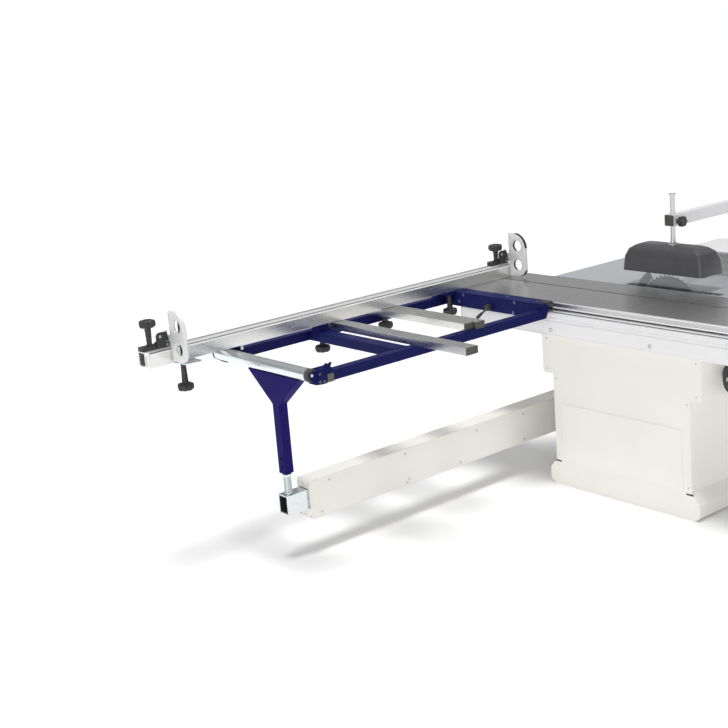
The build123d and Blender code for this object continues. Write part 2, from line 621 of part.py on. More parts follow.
column_x, column_ys, column_radius = blade_x + 125, (-60.0, 180.0), 12.5
cradle_top, cradle_bottom = table_z - 30, table_z - 350
with BuildPart() as saw_cradle:
    for (start, end), plate in zip(guide_planes, cradle_plates):
        sector_start, sector_end = (start, plate[1]) if start < 0 else (plate[0], end)
        with BuildSketch(Plane.XZ.offset(-sector_end)):
            with BuildLine():
                inner = CenterArc((blade_x, table_z), 150, -78, 66)
                outer = CenterArc((blade_x, table_z), segment_radius, -78, 66)
                Line(inner @ 0, outer @ 0)
                Line(inner @ 1, outer @ 1)
            make_face()
        extrude(amount=sector_end - sector_start)
        block(column_x - 22, column_x + 22, plate[0], plate[1], cradle_bottom, cradle_top)
    block(column_x - 22, column_x + 22, -184, 316, cradle_top - 20, cradle_top)
    block(column_x - 22, column_x + 22, -184, -42, cradle_bottom, cradle_bottom + 20)
    block(column_x - 22, column_x + 22, 162, 316, cradle_bottom, cradle_bottom + 20)
    for column_y in column_ys:
        rod("z", cradle_bottom + 1, cradle_top - 1, (column_x, column_y), column_radius)
save("saw_cradle", saw_cradle.part)

motor_z, scoring_z = arbor_z - motor_drop, arbor_z + scoring_rise
with BuildPart() as arbor_unit:
    rod("x", blade_x + 14, column_x - 25, (arbor_y, arbor_z), 40)
    block(column_x - 30, column_x + 20, -86, 206, arbor_z - 60, arbor_z + 16)
    block(column_x - 30, column_x - 14, arbor_y - 60, arbor_y + 60, motor_z + 40, arbor_z)
    # Arm that holds the riving knife
    block(blade_x + blade_thickness / 2 + 0.2, column_x - 30, 214, 244, arbor_z - 72, arbor_z - 52)
    block(column_x - 60, column_x - 30, 180, 244, arbor_z - 72, arbor_z - 52)
    # Arm that holds the scoring spindle in front of the blade
    rod("x", blade_x + 12, column_x - 30, (scoring_y, scoring_z), 12)
    block(column_x - 60, column_x - 30, scoring_y - 10, -60, arbor_z - 20, scoring_z + 6)
    for column_y in column_ys:
        rod("z", arbor_z - 61, arbor_z + 17, (column_x, column_y), column_radius + running, Mode.SUBTRACT)
    rod("x", blade_x + 13, column_x + 21, (arbor_y, arbor_z), 15 + running, Mode.SUBTRACT)
    rod("x", blade_x + 11, column_x, (scoring_y, scoring_z), 8 + running, Mode.SUBTRACT)
save("arbor_unit", arbor_unit.part)

with BuildPart() as main_motor:
    rod("x", blade_x - 45, column_x - 30, (arbor_y, motor_z), motor_radius)
    rod("x", blade_x - 57, blade_x - 45, (arbor_y, motor_z), motor_radius - 8)
    block(blade_x - 40, blade_x + 50, arbor_y - 50, arbor_y + 50, motor_z - motor_radius - 16, motor_z - 40)
    rod("x", column_x - 31, pulley_left - 2, (arbor_y, motor_z), 12)
save("main_motor", main_motor.part)

with BuildPart() as main_arbor:
    rod("x", blade_x - 20, pulley_left, (arbor_y, arbor_z), 15)
    rod("x", blade_x + blade_thickness / 2, blade_x + 11, (arbor_y, arbor_z), 32)
    rod("x", blade_x - 11, blade_x - blade_thickness / 2, (arbor_y, arbor_z), 32)
    rod("x", pulley_left, pulley_right, (arbor_y, arbor_z), arbor_pulley_radius)
save("main_arbor", main_arbor.part)

with BuildPart() as saw_blade:
    with BuildSketch(Plane.YZ.offset(blade_x - blade_thickness / 2)):
        with Locations((arbor_y, arbor_z)):
            Circle(blade_radius - 7)
            with PolarLocations(blade_radius - 8, 40):
                Polygon([(-4, -6), (8, -1), (8, 3), (-4, 6)], align=None)
            Circle(15 + running, mode=Mode.SUBTRACT)
    extrude(amount=blade_thickness)
save("saw_blade", saw_blade.part)

with BuildPart() as scoring_blade:
    rod("x", blade_x - 1.6, blade_x + 1.6, (scoring_y, scoring_z), 60)
    rod("x", blade_x + 1.6, blade_x + 60, (scoring_y, scoring_z), 8)
    rod("x", blade_x - 8, blade_x - 1.6, (scoring_y, scoring_z), 12)
save("scoring_blade", scoring_blade.part)

with BuildPart() as motor_pulley:
    rod("x", pulley_left, pulley_right, (arbor_y, motor_z), motor_pulley_radius)
    rod("x", pulley_left - 2, pulley_left, (arbor_y, motor_z), 20)
save("motor_pulley", motor_pulley.part)

with BuildPart() as drive_belt:
    for allowance, mode in ((5.3, Mode.ADD), (0.3, Mode.SUBTRACT)):
        with BuildSketch(Plane.YZ.offset(pulley_left + 4)):
            with Locations((arbor_y, arbor_z)):
                Circle(arbor_pulley_radius + allowance)
            with Locations((arbor_y, motor_z)):
                Circle(motor_pulley_radius + allowance)
            make_hull()
        extrude(amount=16, mode=mode)
save("drive_belt", drive_belt.part)

with BuildPart() as riving_knife:
    with BuildSketch(Plane.YZ.offset(blade_x - 1.4)):
        with BuildLine():
            inner = CenterArc((arbor_y, arbor_z), blade_radius + 5, -26, 82)
            outer = CenterArc((arbor_y, arbor_z), blade_radius + 42, -26, 82)
            Line(inner @ 0, outer @ 0)
            Line(inner @ 1, outer @ 1)
        make_face()
    extrude(amount=2.8)
save("riving_knife", riving_knife.part)

# Overhead guard: floor-standing mast that also carries the extension table, swinging boom, sliding hood
with BuildPart() as guard_mast:
    half = mast_size / 2
    block(mast_x - half, mast_x + half, arbor_y - half, arbor_y + half, 12, boom_z - 40)
    block(mast_x - 80, mast_x + 80, arbor_y - 110, arbor_y + 110, 0, 12)
    block(extension_table_right, mast_x - half, arbor_y - 60, arbor_y + 60, table_z - 40, table_z - 8)
    rod("z", boom_z - 40, boom_z + 24, (mast_x, arbor_y), 18)
save("guard_mast", guard_mast.part)

hood_x = (hood_left + hood_right) / 2
with BuildPart() as guard_boom:
    block(hood_x - 24, mast_x - 34, arbor_y - 25, arbor_y + 25, boom_z - 25, boom_z + 25)
    rod("z", boom_z - 39, boom_z + 30, (mast_x, arbor_y), 40)
    block(mast_x - 40, mast_x - 20, arbor_y - 25, arbor_y + 25, boom_z - 25, boom_z + 25)
    rod("z", boom_z - 41, boom_z + 24.5, (mast_x, arbor_y), 18 + running, Mode.SUBTRACT)
    rod("z", boom_z - 26, boom_z + 26, (hood_x, arbor_y), 12 + running, Mode.SUBTRACT)
save("guard_boom", guard_boom.part)

with BuildPart() as guard_hood:
    wall = 4.0
    for left in (hood_left, hood_right - wall):
        block(left, left + wall, hood_front, hood_back, hood_bottom, hood_top)
    for front in (hood_front, hood_back - wall):
        block(hood_left + wall, hood_right - wall, front, front + wall, hood_bottom, hood_top)
    block(hood_left, hood_right, hood_front, hood_back, hood_top, hood_top + wall)
    rod("z", hood_top + wall, spindle_top, (hood_x, arbor_y), 12)
    rod("z", spindle_top, spindle_top + 6, (hood_x, arbor_y), 16)
save("guard_hood", guard_hood.part)


# Controls on the front of the cabinet
def handwheel(x, z):
    """Rimmed handwheel with three spokes, a crank grip and a shaft into the cabinet."""
    face = -shoulder_half_depth
    with BuildSketch(Plane.XZ.offset(-(face - 40))) as outline:
        with Locations((x, z)):
            Circle(80)
            Circle(66, mode=Mode.SUBTRACT)
            Circle(20)
            with PolarLocations(43, 3):
                Rectangle(50, 12)
    extrude(outline.sketch, amount=14)
    rod("y", face - 40, face - 1, (x, z), 18)
    rod("y", face - 1, face + 40, (x, z), 12)
    rod("y", face - 104, face - 54, (x, z - 72), 9)


for name, x, z in (("tilt_handwheel", -180, 610), ("height_handwheel", 170, 580)):
    with BuildPart() as wheel:
        handwheel(x, z)
    save(name, wheel.part)

box_front = -shoulder_half_depth - 45
with BuildPart() as control_box:
    block(-40, 90, box_front, -shoulder_half_depth, 610, 690)
    fillet(control_box.edges().filter_by(Axis.Y), radius=8)
    for button_x in (-10, 50):
        rod("y", box_front - 1, box_front + 14, (button_x, 650), 13, Mode.SUBTRACT)
save("control_box", control_box.part)

with BuildPart() as start_button:
    rod("y", box_front - 4, box_front + 8, (-10, 650), 12)
save("start_button", start_button.part)

with BuildPart() as stop_button:
    rod("y", box_front - 10, box_front + 8, (50, 650), 12)
    rod("y", box_front - 22, box_front - 10, (50, 650), 20)
save("stop_button", stop_button.part)
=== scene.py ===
"""Looks of the sliding-table panel saw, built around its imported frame, with +Z up."""

import math

import bmesh
import bpy
from mathutils import Matrix, Vector


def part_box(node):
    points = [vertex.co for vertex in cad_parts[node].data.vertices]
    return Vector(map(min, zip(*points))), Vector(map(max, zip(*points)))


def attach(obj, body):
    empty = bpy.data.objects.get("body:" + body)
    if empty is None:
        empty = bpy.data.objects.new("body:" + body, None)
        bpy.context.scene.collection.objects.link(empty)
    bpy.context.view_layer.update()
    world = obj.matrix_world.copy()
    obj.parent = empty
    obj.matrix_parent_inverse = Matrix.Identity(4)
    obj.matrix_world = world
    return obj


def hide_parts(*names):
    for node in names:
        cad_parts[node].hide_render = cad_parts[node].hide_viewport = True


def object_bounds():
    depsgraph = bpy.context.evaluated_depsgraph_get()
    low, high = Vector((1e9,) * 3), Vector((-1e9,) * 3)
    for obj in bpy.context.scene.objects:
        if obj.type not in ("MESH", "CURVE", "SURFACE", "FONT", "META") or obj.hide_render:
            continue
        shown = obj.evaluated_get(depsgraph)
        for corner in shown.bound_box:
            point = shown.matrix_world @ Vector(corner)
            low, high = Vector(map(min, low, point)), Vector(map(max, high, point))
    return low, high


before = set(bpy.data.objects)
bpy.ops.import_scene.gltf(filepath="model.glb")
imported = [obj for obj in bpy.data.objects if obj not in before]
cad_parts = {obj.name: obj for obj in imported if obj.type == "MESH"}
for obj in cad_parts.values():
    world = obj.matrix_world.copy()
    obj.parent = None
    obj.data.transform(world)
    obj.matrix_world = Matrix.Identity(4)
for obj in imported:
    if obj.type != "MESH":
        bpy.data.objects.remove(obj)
cad_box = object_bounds()

# Shapes are built in millimetres; dress() turns a finished mesh into metres.
PER_METRE = 1000.0
WELD_DISTANCE = 0.001
SCALE_PITCH = 10
X_AXIS, Y_AXIS, Z_AXIS = Vector((1, 0, 0)), Vector((0, 1, 0)), Vector((0, 0, 1))


def corners(node):
    """Lowest and highest corner of a CAD node, in millimetres."""
    return [Vector(corner) * PER_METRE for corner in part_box(node)]


def low(node):
    """Lowest corner of a CAD node."""
    return corners(node)[0]


def high(node):
    """Highest corner of a CAD node."""
    return corners(node)[1]


def middle(node):
    """Centre of a CAD node's box."""
    return (low(node) + high(node)) / 2


# ---------------------------------------------------------------- camera

CAMERA_PLACE = Vector((-4.61244, -3.63958, 2.13213))
CAMERA_YAW, CAMERA_PITCH, CAMERA_ROLL = math.radians(51.44), math.radians(14.47), math.radians(-4.70)
CAMERA_LENS, CAMERA_SENSOR = 66.55, 36


def make_camera():
    """Camera from its place, its heading from +X, its dip below the horizon and its roll."""
    cos_a, sin_a = math.cos(CAMERA_YAW), math.sin(CAMERA_YAW)
    cos_b, sin_b = math.cos(CAMERA_PITCH), math.sin(CAMERA_PITCH)
    ahead = Vector((cos_a * cos_b, sin_a * cos_b, -sin_b))
    right = Vector((sin_a, -cos_a, 0))
    up = right.cross(ahead)
    rolled_right = right * math.cos(CAMERA_ROLL) + up * math.sin(CAMERA_ROLL)
    rolled_up = up * math.cos(CAMERA_ROLL) - right * math.sin(CAMERA_ROLL)
    data = bpy.data.cameras.new("camera")
    data.lens, data.sensor_width = CAMERA_LENS, CAMERA_SENSOR
    data.clip_end = 60
    camera = bpy.data.objects.new("camera", data)
    turn = Matrix((rolled_right, rolled_up, -ahead)).transposed()
    camera.matrix_world = Matrix.Translation(CAMERA_PLACE) @ turn.to_4x4()
    bpy.context.scene.collection.objects.link(camera)
    bpy.context.scene.camera = camera


make_camera()


# ---------------------------------------------------------------- materials


class Shade:
    """A node material being built: one Principled shader with texture nodes in front of it."""

    def __init__(self, name, colour, roughness, metallic=0.0, **sockets):
        self.material = bpy.data.materials.new(name)
        self.material.use_nodes = True
        self.tree = self.material.node_tree
        self.shader = self.tree.nodes["Principled BSDF"]
        self.colour = (*colour, 1)
        self.shader.inputs["Base Color"].default_value = self.colour
        self.shader.inputs["Roughness"].default_value = roughness
        self.shader.inputs["Metallic"].default_value = metallic
        for socket, value in sockets.items():
            self.shader.inputs[socket.replace("_", " ")].default_value = value
        self.material.diffuse_color = self.colour
        self.place = self.node("TexCoord").outputs["Object"]

    def link(self, output, target):
        self.tree.links.new(output, target)

    def node(self, kind, **sockets):
        """New node of a kind, each named input set to a value or joined to another node's output."""
        node = self.tree.nodes.new("ShaderNode" + kind)
        for socket, value in sockets.items():
            if isinstance(value, bpy.types.NodeSocket):
                self.link(value, node.inputs[socket])
            else:
                node.inputs[socket].default_value = value
        return node

    def noise(self, scale, stretch=(1, 1, 1), detail=3.0, roughness=0.5):
        """Noise over the object's own coordinates, finer along an axis with a larger stretch."""
        place = self.node("Mapping", Scale=stretch, Vector=self.place).outputs["Vector"]
        noise = self.node("TexNoise", Scale=scale, Detail=detail, Roughness=roughness, Vector=place)
        return noise.outputs["Fac"]

    def remap(self, value, from_low, from_high, to_low, to_high):
        """Value carried over from one range to another, and kept inside it."""
        node = self.node("MapRange", Value=value)
        for index, number in enumerate((from_low, from_high, to_low, to_high), start=1):
            node.inputs[index].default_value = number
        return node.outputs[0]

    def bevel(self, radius):
        """Normal that is softened near edges."""
        node = self.node("Bevel", Radius=radius)
        node.samples = 4
        return node.outputs["Normal"]

    def edges(self, radius):
        """0 on flats, towards 1 where an edge is nearer than radius."""
        dot = self.node("VectorMath")
        dot.operation = "DOT_PRODUCT"
        self.link(self.bevel(radius), dot.inputs[0])
        self.link(self.node("NewGeometry").outputs["Normal"], dot.inputs[1])
        return self.remap(dot.outputs["Value"], 0.995, 0.80, 0.0, 1.0)

    def mix_colour(self, factor, other):
        """Blend what the base colour is now towards another colour by a factor."""
        mix = self.node("Mix")
        mix.data_type = "RGBA"
        self.link(factor, mix.inputs["Factor"])
        source = self.shader.inputs["Base Color"]
        if source.is_linked:
            self.link(source.links[0].from_socket, mix.inputs["A"])
        else:
            mix.inputs["A"].default_value = self.colour
        mix.inputs["B"].default_value = (*other, 1)
        self.link(mix.outputs["Result"], source)

    def rough(self, value, rough_low, rough_high):
        """Roughness between two values, led by a noise."""
        self.link(self.remap(value, 0.3, 0.7, rough_low, rough_high), self.shader.inputs["Roughness"])

    def finish(self, bump_source, strength, distance, round_edges=0.0):
        """Attach bump and softened edges to the shader's normal."""
        bump = self.node("Bump", Strength=strength, Distance=distance, Height=bump_source)
        if round_edges:
            self.link(self.bevel(round_edges), bump.inputs["Normal"])
        self.link(bump.outputs["Normal"], self.shader.inputs["Normal"])
        return self.material


def scaled(colour, factor):
    """Colour made lighter or darker, no channel above 1."""
    return tuple(min(1.0, c * factor) for c in colour)


def powder_coat(name, colour, roughness, peel=260.0, gloss=0.5):
    """Powder-coated steel: orange peel, faint patches, and paint that thins a little at the edges."""
    shade = Shade(name, colour, roughness, Specular_IOR_Level=gloss)
    patches = shade.noise(3.2, detail=4)
    shade.mix_colour(shade.remap(patches, 0.35, 0.75, 0.0, 0.35), scaled(colour, 0.88))
    shade.mix_colour(shade.remap(shade.edges(0.0015), 0, 1, 0.0, 0.22), scaled(colour, 1.35))
    shade.rough(shade.noise(9.0, detail=5), roughness * 0.88, roughness * 1.16)
    return shade.finish(shade.noise(peel, detail=2), 0.10, 0.0004, round_edges=0.0014)


def drawn_metal(name, colour, roughness, along, metallic=1.0, grain=0.3, smear=0.22):
    """Drawn or brushed metal whose grain runs along one axis (0, 1 or 2)."""
    shade = Shade(name, colour, roughness, metallic)
    stretch = [1.0, 1.0, 1.0]
    stretch[along] = 0.012
    lines = shade.noise(900.0, stretch, detail=4, roughness=0.7)
    smears = shade.noise(7.0, [0.25 if axis == along else 1.0 for axis in range(3)], detail=5)
    shade.mix_colour(shade.remap(lines, 0.3, 0.7, 0.0, grain), scaled(colour, 0.72))
    shade.mix_colour(shade.remap(smears, 0.4, 0.8, 0.0, smear), scaled(colour, 0.86))
    shade.mix_colour(shade.remap(shade.edges(0.0012), 0, 1, 0.0, 0.5), (0.93, 0.93, 0.93))
    shade.rough(lines, roughness * 0.82, roughness * 1.2)
    return shade.finish(lines, 0.10 * min(1.0, grain / 0.2), 0.0002, round_edges=0.0010)


def zinc(name, colour, roughness):
    """Bright zinc plating: bluish, with soft spangle and a few dull spots."""
    shade = Shade(name, colour, roughness, 1.0)
    spangle = shade.noise(60.0, detail=5)
    shade.mix_colour(shade.remap(spangle, 0.35, 0.7, 0.0, 0.14), scaled(colour, 0.86))
    shade.rough(spangle, roughness * 0.85, roughness * 1.2)
    return shade.finish(spangle, 0.02, 0.0002, round_edges=0.0008)


def moulded(name, colour, roughness, grain=700.0):
    """Moulded plastic with a fine spark-eroded grain and paler, rubbed edges."""
    shade = Shade(name, colour, roughness, 0.0)
    shade.mix_colour(shade.remap(shade.noise(14.0, detail=4), 0.35, 0.75, 0.0, 0.3), scaled(colour, 1.6))
    shade.mix_colour(shade.remap(shade.edges(0.0009), 0, 1, 0.0, 0.35), scaled(colour, 3.2))
    shade.rough(shade.noise(40.0, detail=3), roughness * 0.85, roughness * 1.15)
    return shade.finish(shade.noise(grain, detail=2), 0.22, 0.0003, round_edges=0.0008)


def ground_iron(name, colour, roughness):
    """Ground cast-iron table: fine parallel grinding lines, faint swirls and oil stains."""
    shade = Shade(name, colour, roughness, 0.75)
    lines = shade.noise(700.0, (0.02, 1, 1), detail=4, roughness=0.75)
    shade.mix_colour(shade.remap(lines, 0.35, 0.65, 0.0, 0.28), scaled(colour, 0.82))
    shade.mix_colour(shade.remap(shade.noise(5.0, detail=6), 0.5, 0.8, 0.0, 0.20), scaled(colour, 0.80))
    shade.rough(lines, roughness * 0.85, roughness * 1.2)
    return shade.finish(lines, 0.06, 0.0002, round_edges=0.0016)


def rough_casting(name, colour, roughness):
    """Painted casting with a sand-textured skin."""
    shade = Shade(name, colour, roughness, 0.1)
    grit = shade.noise(320.0, detail=5, roughness=0.65)
    shade.mix_colour(shade.remap(grit, 0.35, 0.7, 0.0, 0.35), scaled(colour, 0.75))
    shade.mix_colour(shade.remap(shade.edges(0.002), 0, 1, 0.0, 0.3), scaled(colour, 1.5))
    shade.rough(grit, roughness * 0.85, roughness * 1.15)
    return shade.finish(grit, 0.35, 0.0007, round_edges=0.002)


def matt_rubber(name, colour):
    """Matt rubber with a fine grain."""
    shade = Shade(name, colour, 0.72)
    ribs = shade.noise(500.0, detail=2)
    shade.mix_colour(shade.remap(shade.noise(20.0), 0.3, 0.7, 0.0, 0.4), scaled(colour, 1.8))
    shade.rough(ribs, 0.62, 0.82)
    return shade.finish(ribs, 0.25, 0.0004, round_edges=0.0008)


CREAM, NAVY = (0.86, 0.845, 0.79), (0.0070, 0.0105, 0.086)
paint_cream = powder_coat("cream_powder_coat", CREAM, 0.42)
paint_navy = powder_coat("navy_powder_coat", NAVY, 0.42, gloss=0.07)
paint_violet = powder_coat("navy_post_coat", (0.016, 0.009, 0.120), 0.48, gloss=0.05)
paint_pale = powder_coat("pale_powder_coat", (0.74, 0.74, 0.75), 0.38)
metal_zinc = zinc("bright_zinc", (0.70, 0.76, 0.77), 0.24)
metal_screw = zinc("screw_zinc", (0.62, 0.65, 0.66), 0.30)
metal_fence = drawn_metal("anodised_along_x", (0.80, 0.80, 0.79), 0.24, along=0, grain=0.10, smear=0.08)
# Lit copy of the fences' anodised finish for their top faces, less metallic so they read lighter under the
# overhead sun: painted light
metal_fence_lit_top = drawn_metal("anodised_lit_top_copy", (0.80, 0.80, 0.80), 0.30, along=0, metallic=0.35, grain=0.10,
                              smear=0.06)
metal_bars = drawn_metal("anodised_along_y", (0.80, 0.80, 0.78), 0.26, along=1, grain=0.12, smear=0.10)
metal_roller = drawn_metal("roller_plated", (0.80, 0.86, 0.86), 0.20, along=1, grain=0.06, smear=0.12)
metal_carriage = drawn_metal("carriage_anodised", (0.62, 0.62, 0.62), 0.30, along=1, grain=0.10, smear=0.08)
metal_beam = drawn_metal("beam_anodised", (0.86, 0.86, 0.87), 0.46, along=1, metallic=0.35, grain=0.10)
metal_plate = drawn_metal("plate_satin", (0.80, 0.80, 0.80), 0.48, along=2, metallic=0.25, grain=0.16)
# Near-white finish: the pale rim of the extension's end cap, and a painted highlight on the fences' top
# chamfer
metal_pale_and_highlight = drawn_metal("pale_anodised_and_painted_highlight", (0.92, 0.92, 0.92), 0.34, along=0, metallic=0.15, grain=0.08)
# Lighter, less metallic copy of the carriage's anodised finish for its side rails: painted light on the lit
# side
metal_carriage_lit_side = drawn_metal("carriage_lit_side_copy", (0.84, 0.84, 0.85), 0.36, along=1, metallic=0.4,
                                  grain=0.1)
metal_ground = drawn_metal("ground_steel", (0.60, 0.60, 0.60), 0.22, along=0)
metal_blade = drawn_metal("blade_steel", (0.56, 0.57, 0.58), 0.24, along=2, grain=0.2)
metal_table = ground_iron("ground_table", (0.74, 0.76, 0.80), 0.34)
metal_cast = rough_casting("grey_casting", (0.22, 0.23, 0.24), 0.50)
metal_bolt = zinc("dull_bolt", (0.16, 0.18, 0.27), 0.42)
# Black oxide of the bracket bolts and the arbor nut; also the painted shade lines along the fences
metal_dark_and_shade = drawn_metal("black_oxide_and_painted_shade", (0.05, 0.05, 0.052), 0.38, along=2, grain=0.15)
# Black of the moulded knobs, levers and caps and of the printed ticks; also the painted shade strips above
# the cabinet's plinth
plastic_black_and_shade = moulded("black_plastic", (0.022, 0.022, 0.024), 0.46)
plastic_cap = moulded("cap_plastic", (0.060, 0.060, 0.056), 0.55, grain=420.0)
plastic_sleeve = moulded("sleeve_plastic", (0.105, 0.103, 0.080), 0.60, grain=420.0)
plastic_grip = moulded("grip_plastic", (0.030, 0.030, 0.032), 0.50)
plastic_hood = moulded("hood_plastic", (0.055, 0.055, 0.060), 0.35)
plastic_green = moulded("green_button_plastic", (0.02, 0.26, 0.06), 0.28)
plastic_red = moulded("red_button_plastic", (0.50, 0.015, 0.012), 0.26)
# Black rubber of the belt and the carriage's wiper; also the painted shade at the stop plates' edges and
# windows
rubber_black_and_shade = matt_rubber("belt_rubber", (0.016, 0.016, 0.016))

CAD_LOOKS = (
    (paint_cream, "cabinet_base cabinet_left_panel cabinet_front_panel cabinet_rear_panel cabinet_door"
                  " swing_arm"),
    (paint_navy, "outrigger_channel outrigger_long_tubes outrigger_cross_tubes roller_brackets"
                 " arm_hinge_bracket fence_pivot_block guard_mast"),
    (paint_violet, "support_post"),
    (paint_pale, "extension_table guard_boom control_box"),
    (metal_zinc, "post_foot arm_tube fence_clamp_plate support_roller"),
    (metal_plate, "left_stop_plate right_stop_plate"),
    (metal_bars, "support_bars rip_fence_face"),
    (metal_fence, "fence_profile fence_extension"),
    (metal_beam, "guide_beam"),
    (metal_carriage, "carriage_profile"),
    (metal_table, "main_table"),
    (metal_cast, "rip_fence_body trunnion_guides saw_cradle arbor_unit main_motor motor_pulley"),
    (metal_ground, "rip_rail roller_cage main_arbor"),
    (metal_blade, "saw_blade scoring_blade riving_knife"),
    (plastic_cap, "end_caps"),
    (plastic_black_and_shade, "brace_knob support_bar_knob fence_pivot_knob frame_clamp_lever extension_lock_knob"
                    " left_stop_base left_stop_knob right_stop_base right_stop_knob dust_port rip_fence_lever"
                    " tilt_handwheel height_handwheel"),
    (plastic_hood, "guard_hood"),
    (plastic_green, "start_button"),
    (plastic_red, "stop_button"),
    (rubber_black_and_shade, "drive_belt"),
)
for look, nodes in CAD_LOOKS:
    for node_name in nodes.split():
        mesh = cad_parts[node_name].data
        mesh.materials.clear()
        mesh.materials.append(look)


# ---------------------------------------------------------------- mesh helpers


def block(bm, corner, opposite):
    """Box between two corners."""
    a, b = Vector(corner), Vector(opposite)
    size, centre = b - a, (a + b) / 2
    matrix = Matrix.Translation(centre) @ Matrix.Diagonal((*size, 1))
    return bmesh.ops.create_cube(bm, size=1.0, matrix=matrix)["verts"]


def basis(direction):
    """Matrix whose third column is the direction."""
    return Vector(direction).to_track_quat("Z", "Y").to_matrix()


def bridge(bm, one, two):
    """Faces between two closed loops of vertices."""
    for index in range(len(one)):
        following = (index + 1) % len(one)
        bm.faces.new((one[index], one[following], two[following], two[index]))


def lathe(bm, profile, centre, direction=Z_AXIS, segments=32, radius_at=None):
    """Closed turned shape: profile is (radius, height) pairs from one end to the other.

    radius_at(angle) multiplies the radius, which makes lobes."""
    turn, rings = basis(direction), []
    for radius, height in profile:
        ring = []
        for step in range(segments):
            angle = 2 * math.pi * step / segments
            reach = radius * (radius_at(angle) if radius_at else 1.0)
            local = Vector((reach * math.cos(angle), reach * math.sin(angle), height))
            ring.append(bm.verts.new(Vector(centre) + turn @ local))
        rings.append(ring)
    for one, two in zip(rings, rings[1:]):
        bridge(bm, one, two)
    bm.faces.new(list(reversed(rings[0])))
    bm.faces.new(rings[-1])


def ring_shape(bm, profile, centre, direction=Z_AXIS, segments=48):
    """Ring: the closed profile of (radius, height) pairs goes once round the axis."""
    turn, rings = basis(direction), []
    angles = [2 * math.pi * step / segments for step in range(segments)]
    for radius, height in profile:
        places = [Vector((radius * math.cos(angle), radius * math.sin(angle), height)) for angle in angles]
        rings.append([bm.verts.new(Vector(centre) + turn @ local) for local in places])
    for index, one in enumerate(rings):
        bridge(bm, one, rings[(index + 1) % len(rings)])


def prism(bm, outline, plane, start, end):
    """Outline of (u, v) pairs extruded along the axis that plane leaves out ("xy", "xz" or "yz")."""
    def point(u, v, w):
        return {"xy": (u, v, w), "xz": (u, w, v), "yz": (w, u, v)}[plane]
    near = [bm.verts.new(point(u, v, start)) for u, v in outline]
    far = [bm.verts.new(point(u, v, end)) for u, v in outline]
    bm.faces.new(near)
    bm.faces.new(list(reversed(far)))
    for index in range(len(outline)):
        following = (index + 1) % len(outline)
        bm.faces.new((near[following], near[index], far[index], far[following]))


def hexagon(bm, centre, direction, across, height):
    """Hexagon head or nut with a chamfered top."""
    radius = across / math.sqrt(3)
    profile = [(radius, 0), (radius, height * 0.75), (radius * 0.86, height)]
    lathe(bm, profile, centre, direction, segments=6)


def dome_screw(bm, centre, direction, radius):
    """Pan-head screw: low dome with a hexagon socket."""
    profile = [(radius, 0), (radius, radius * 0.28), (radius * 0.86, radius * 0.52),
               (radius * 0.55, radius * 0.64), (radius * 0.42, radius * 0.66), (radius * 0.40, radius * 0.30),
               (radius * 0.01, radius * 0.28)]
    lathe(bm, profile, centre, direction, segments=20)


def arc(centre, radius, start, end, steps):
    """Points on an arc, angles in degrees."""
    points = []
    for step in range(steps + 1):
        angle = math.radians(start + (end - start) * step / steps)
        points.append((centre[0] + radius * math.cos(angle), centre[1] + radius * math.sin(angle)))
    return points


def rounded(left, right, bottom, top, radius, steps=5):
    """Outline of a rectangle with round corners."""
    return (arc((right - radius, bottom + radius), radius, -90, 0, steps)
            + arc((right - radius, top - radius), radius, 0, 90, steps)
            + arc((left + radius, top - radius), radius, 90, 180, steps)
            + arc((left + radius, bottom + radius), radius, 180, 270, steps))


def place(name, bm, material, body, **options):
    """Turn a bmesh into a finished piece that rides on a body."""
    bmesh.ops.remove_doubles(bm, verts=bm.verts, dist=WELD_DISTANCE)
    bmesh.ops.recalc_face_normals(bm, faces=bm.faces)
    mesh = bpy.data.meshes.new(name)
    bm.to_mesh(mesh)
    bm.free()
    dress(name, mesh, material, body, **options)


def dress(name, mesh, material, body, slot=None, bevel=0.0, angle=32, stands_for=()):
    """Give a mesh its material, rounded or sharp edges and body; the slot argument is not used."""
    mesh.transform(Matrix.Scale(1 / PER_METRE, 4))
    mesh.materials.append(material)
    mesh.shade_smooth()
    if bevel <= 0:
        mesh.set_sharp_from_angle(angle=math.radians(angle))
    obj = bpy.data.objects.new(name, mesh)
    bpy.context.scene.collection.objects.link(obj)
    if bevel > 0:
        modifier = obj.modifiers.new("edges", "BEVEL")
        modifier.width, modifier.segments = bevel / PER_METRE, 2
        modifier.limit_method, modifier.angle_limit = "ANGLE", math.radians(angle)
        modifier.harden_normals = True
    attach(obj, body)
    if stands_for:
        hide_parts(*stands_for)


def shape(name, material, body, *parts, **options):
    """Piece made of parts, each a builder with its arguments, such as (lathe, profile, centre, direction)."""
    bm = bmesh.new()
    for build, *arguments in parts:
        build(bm, *arguments)
    place(name, bm, material, body, **options)


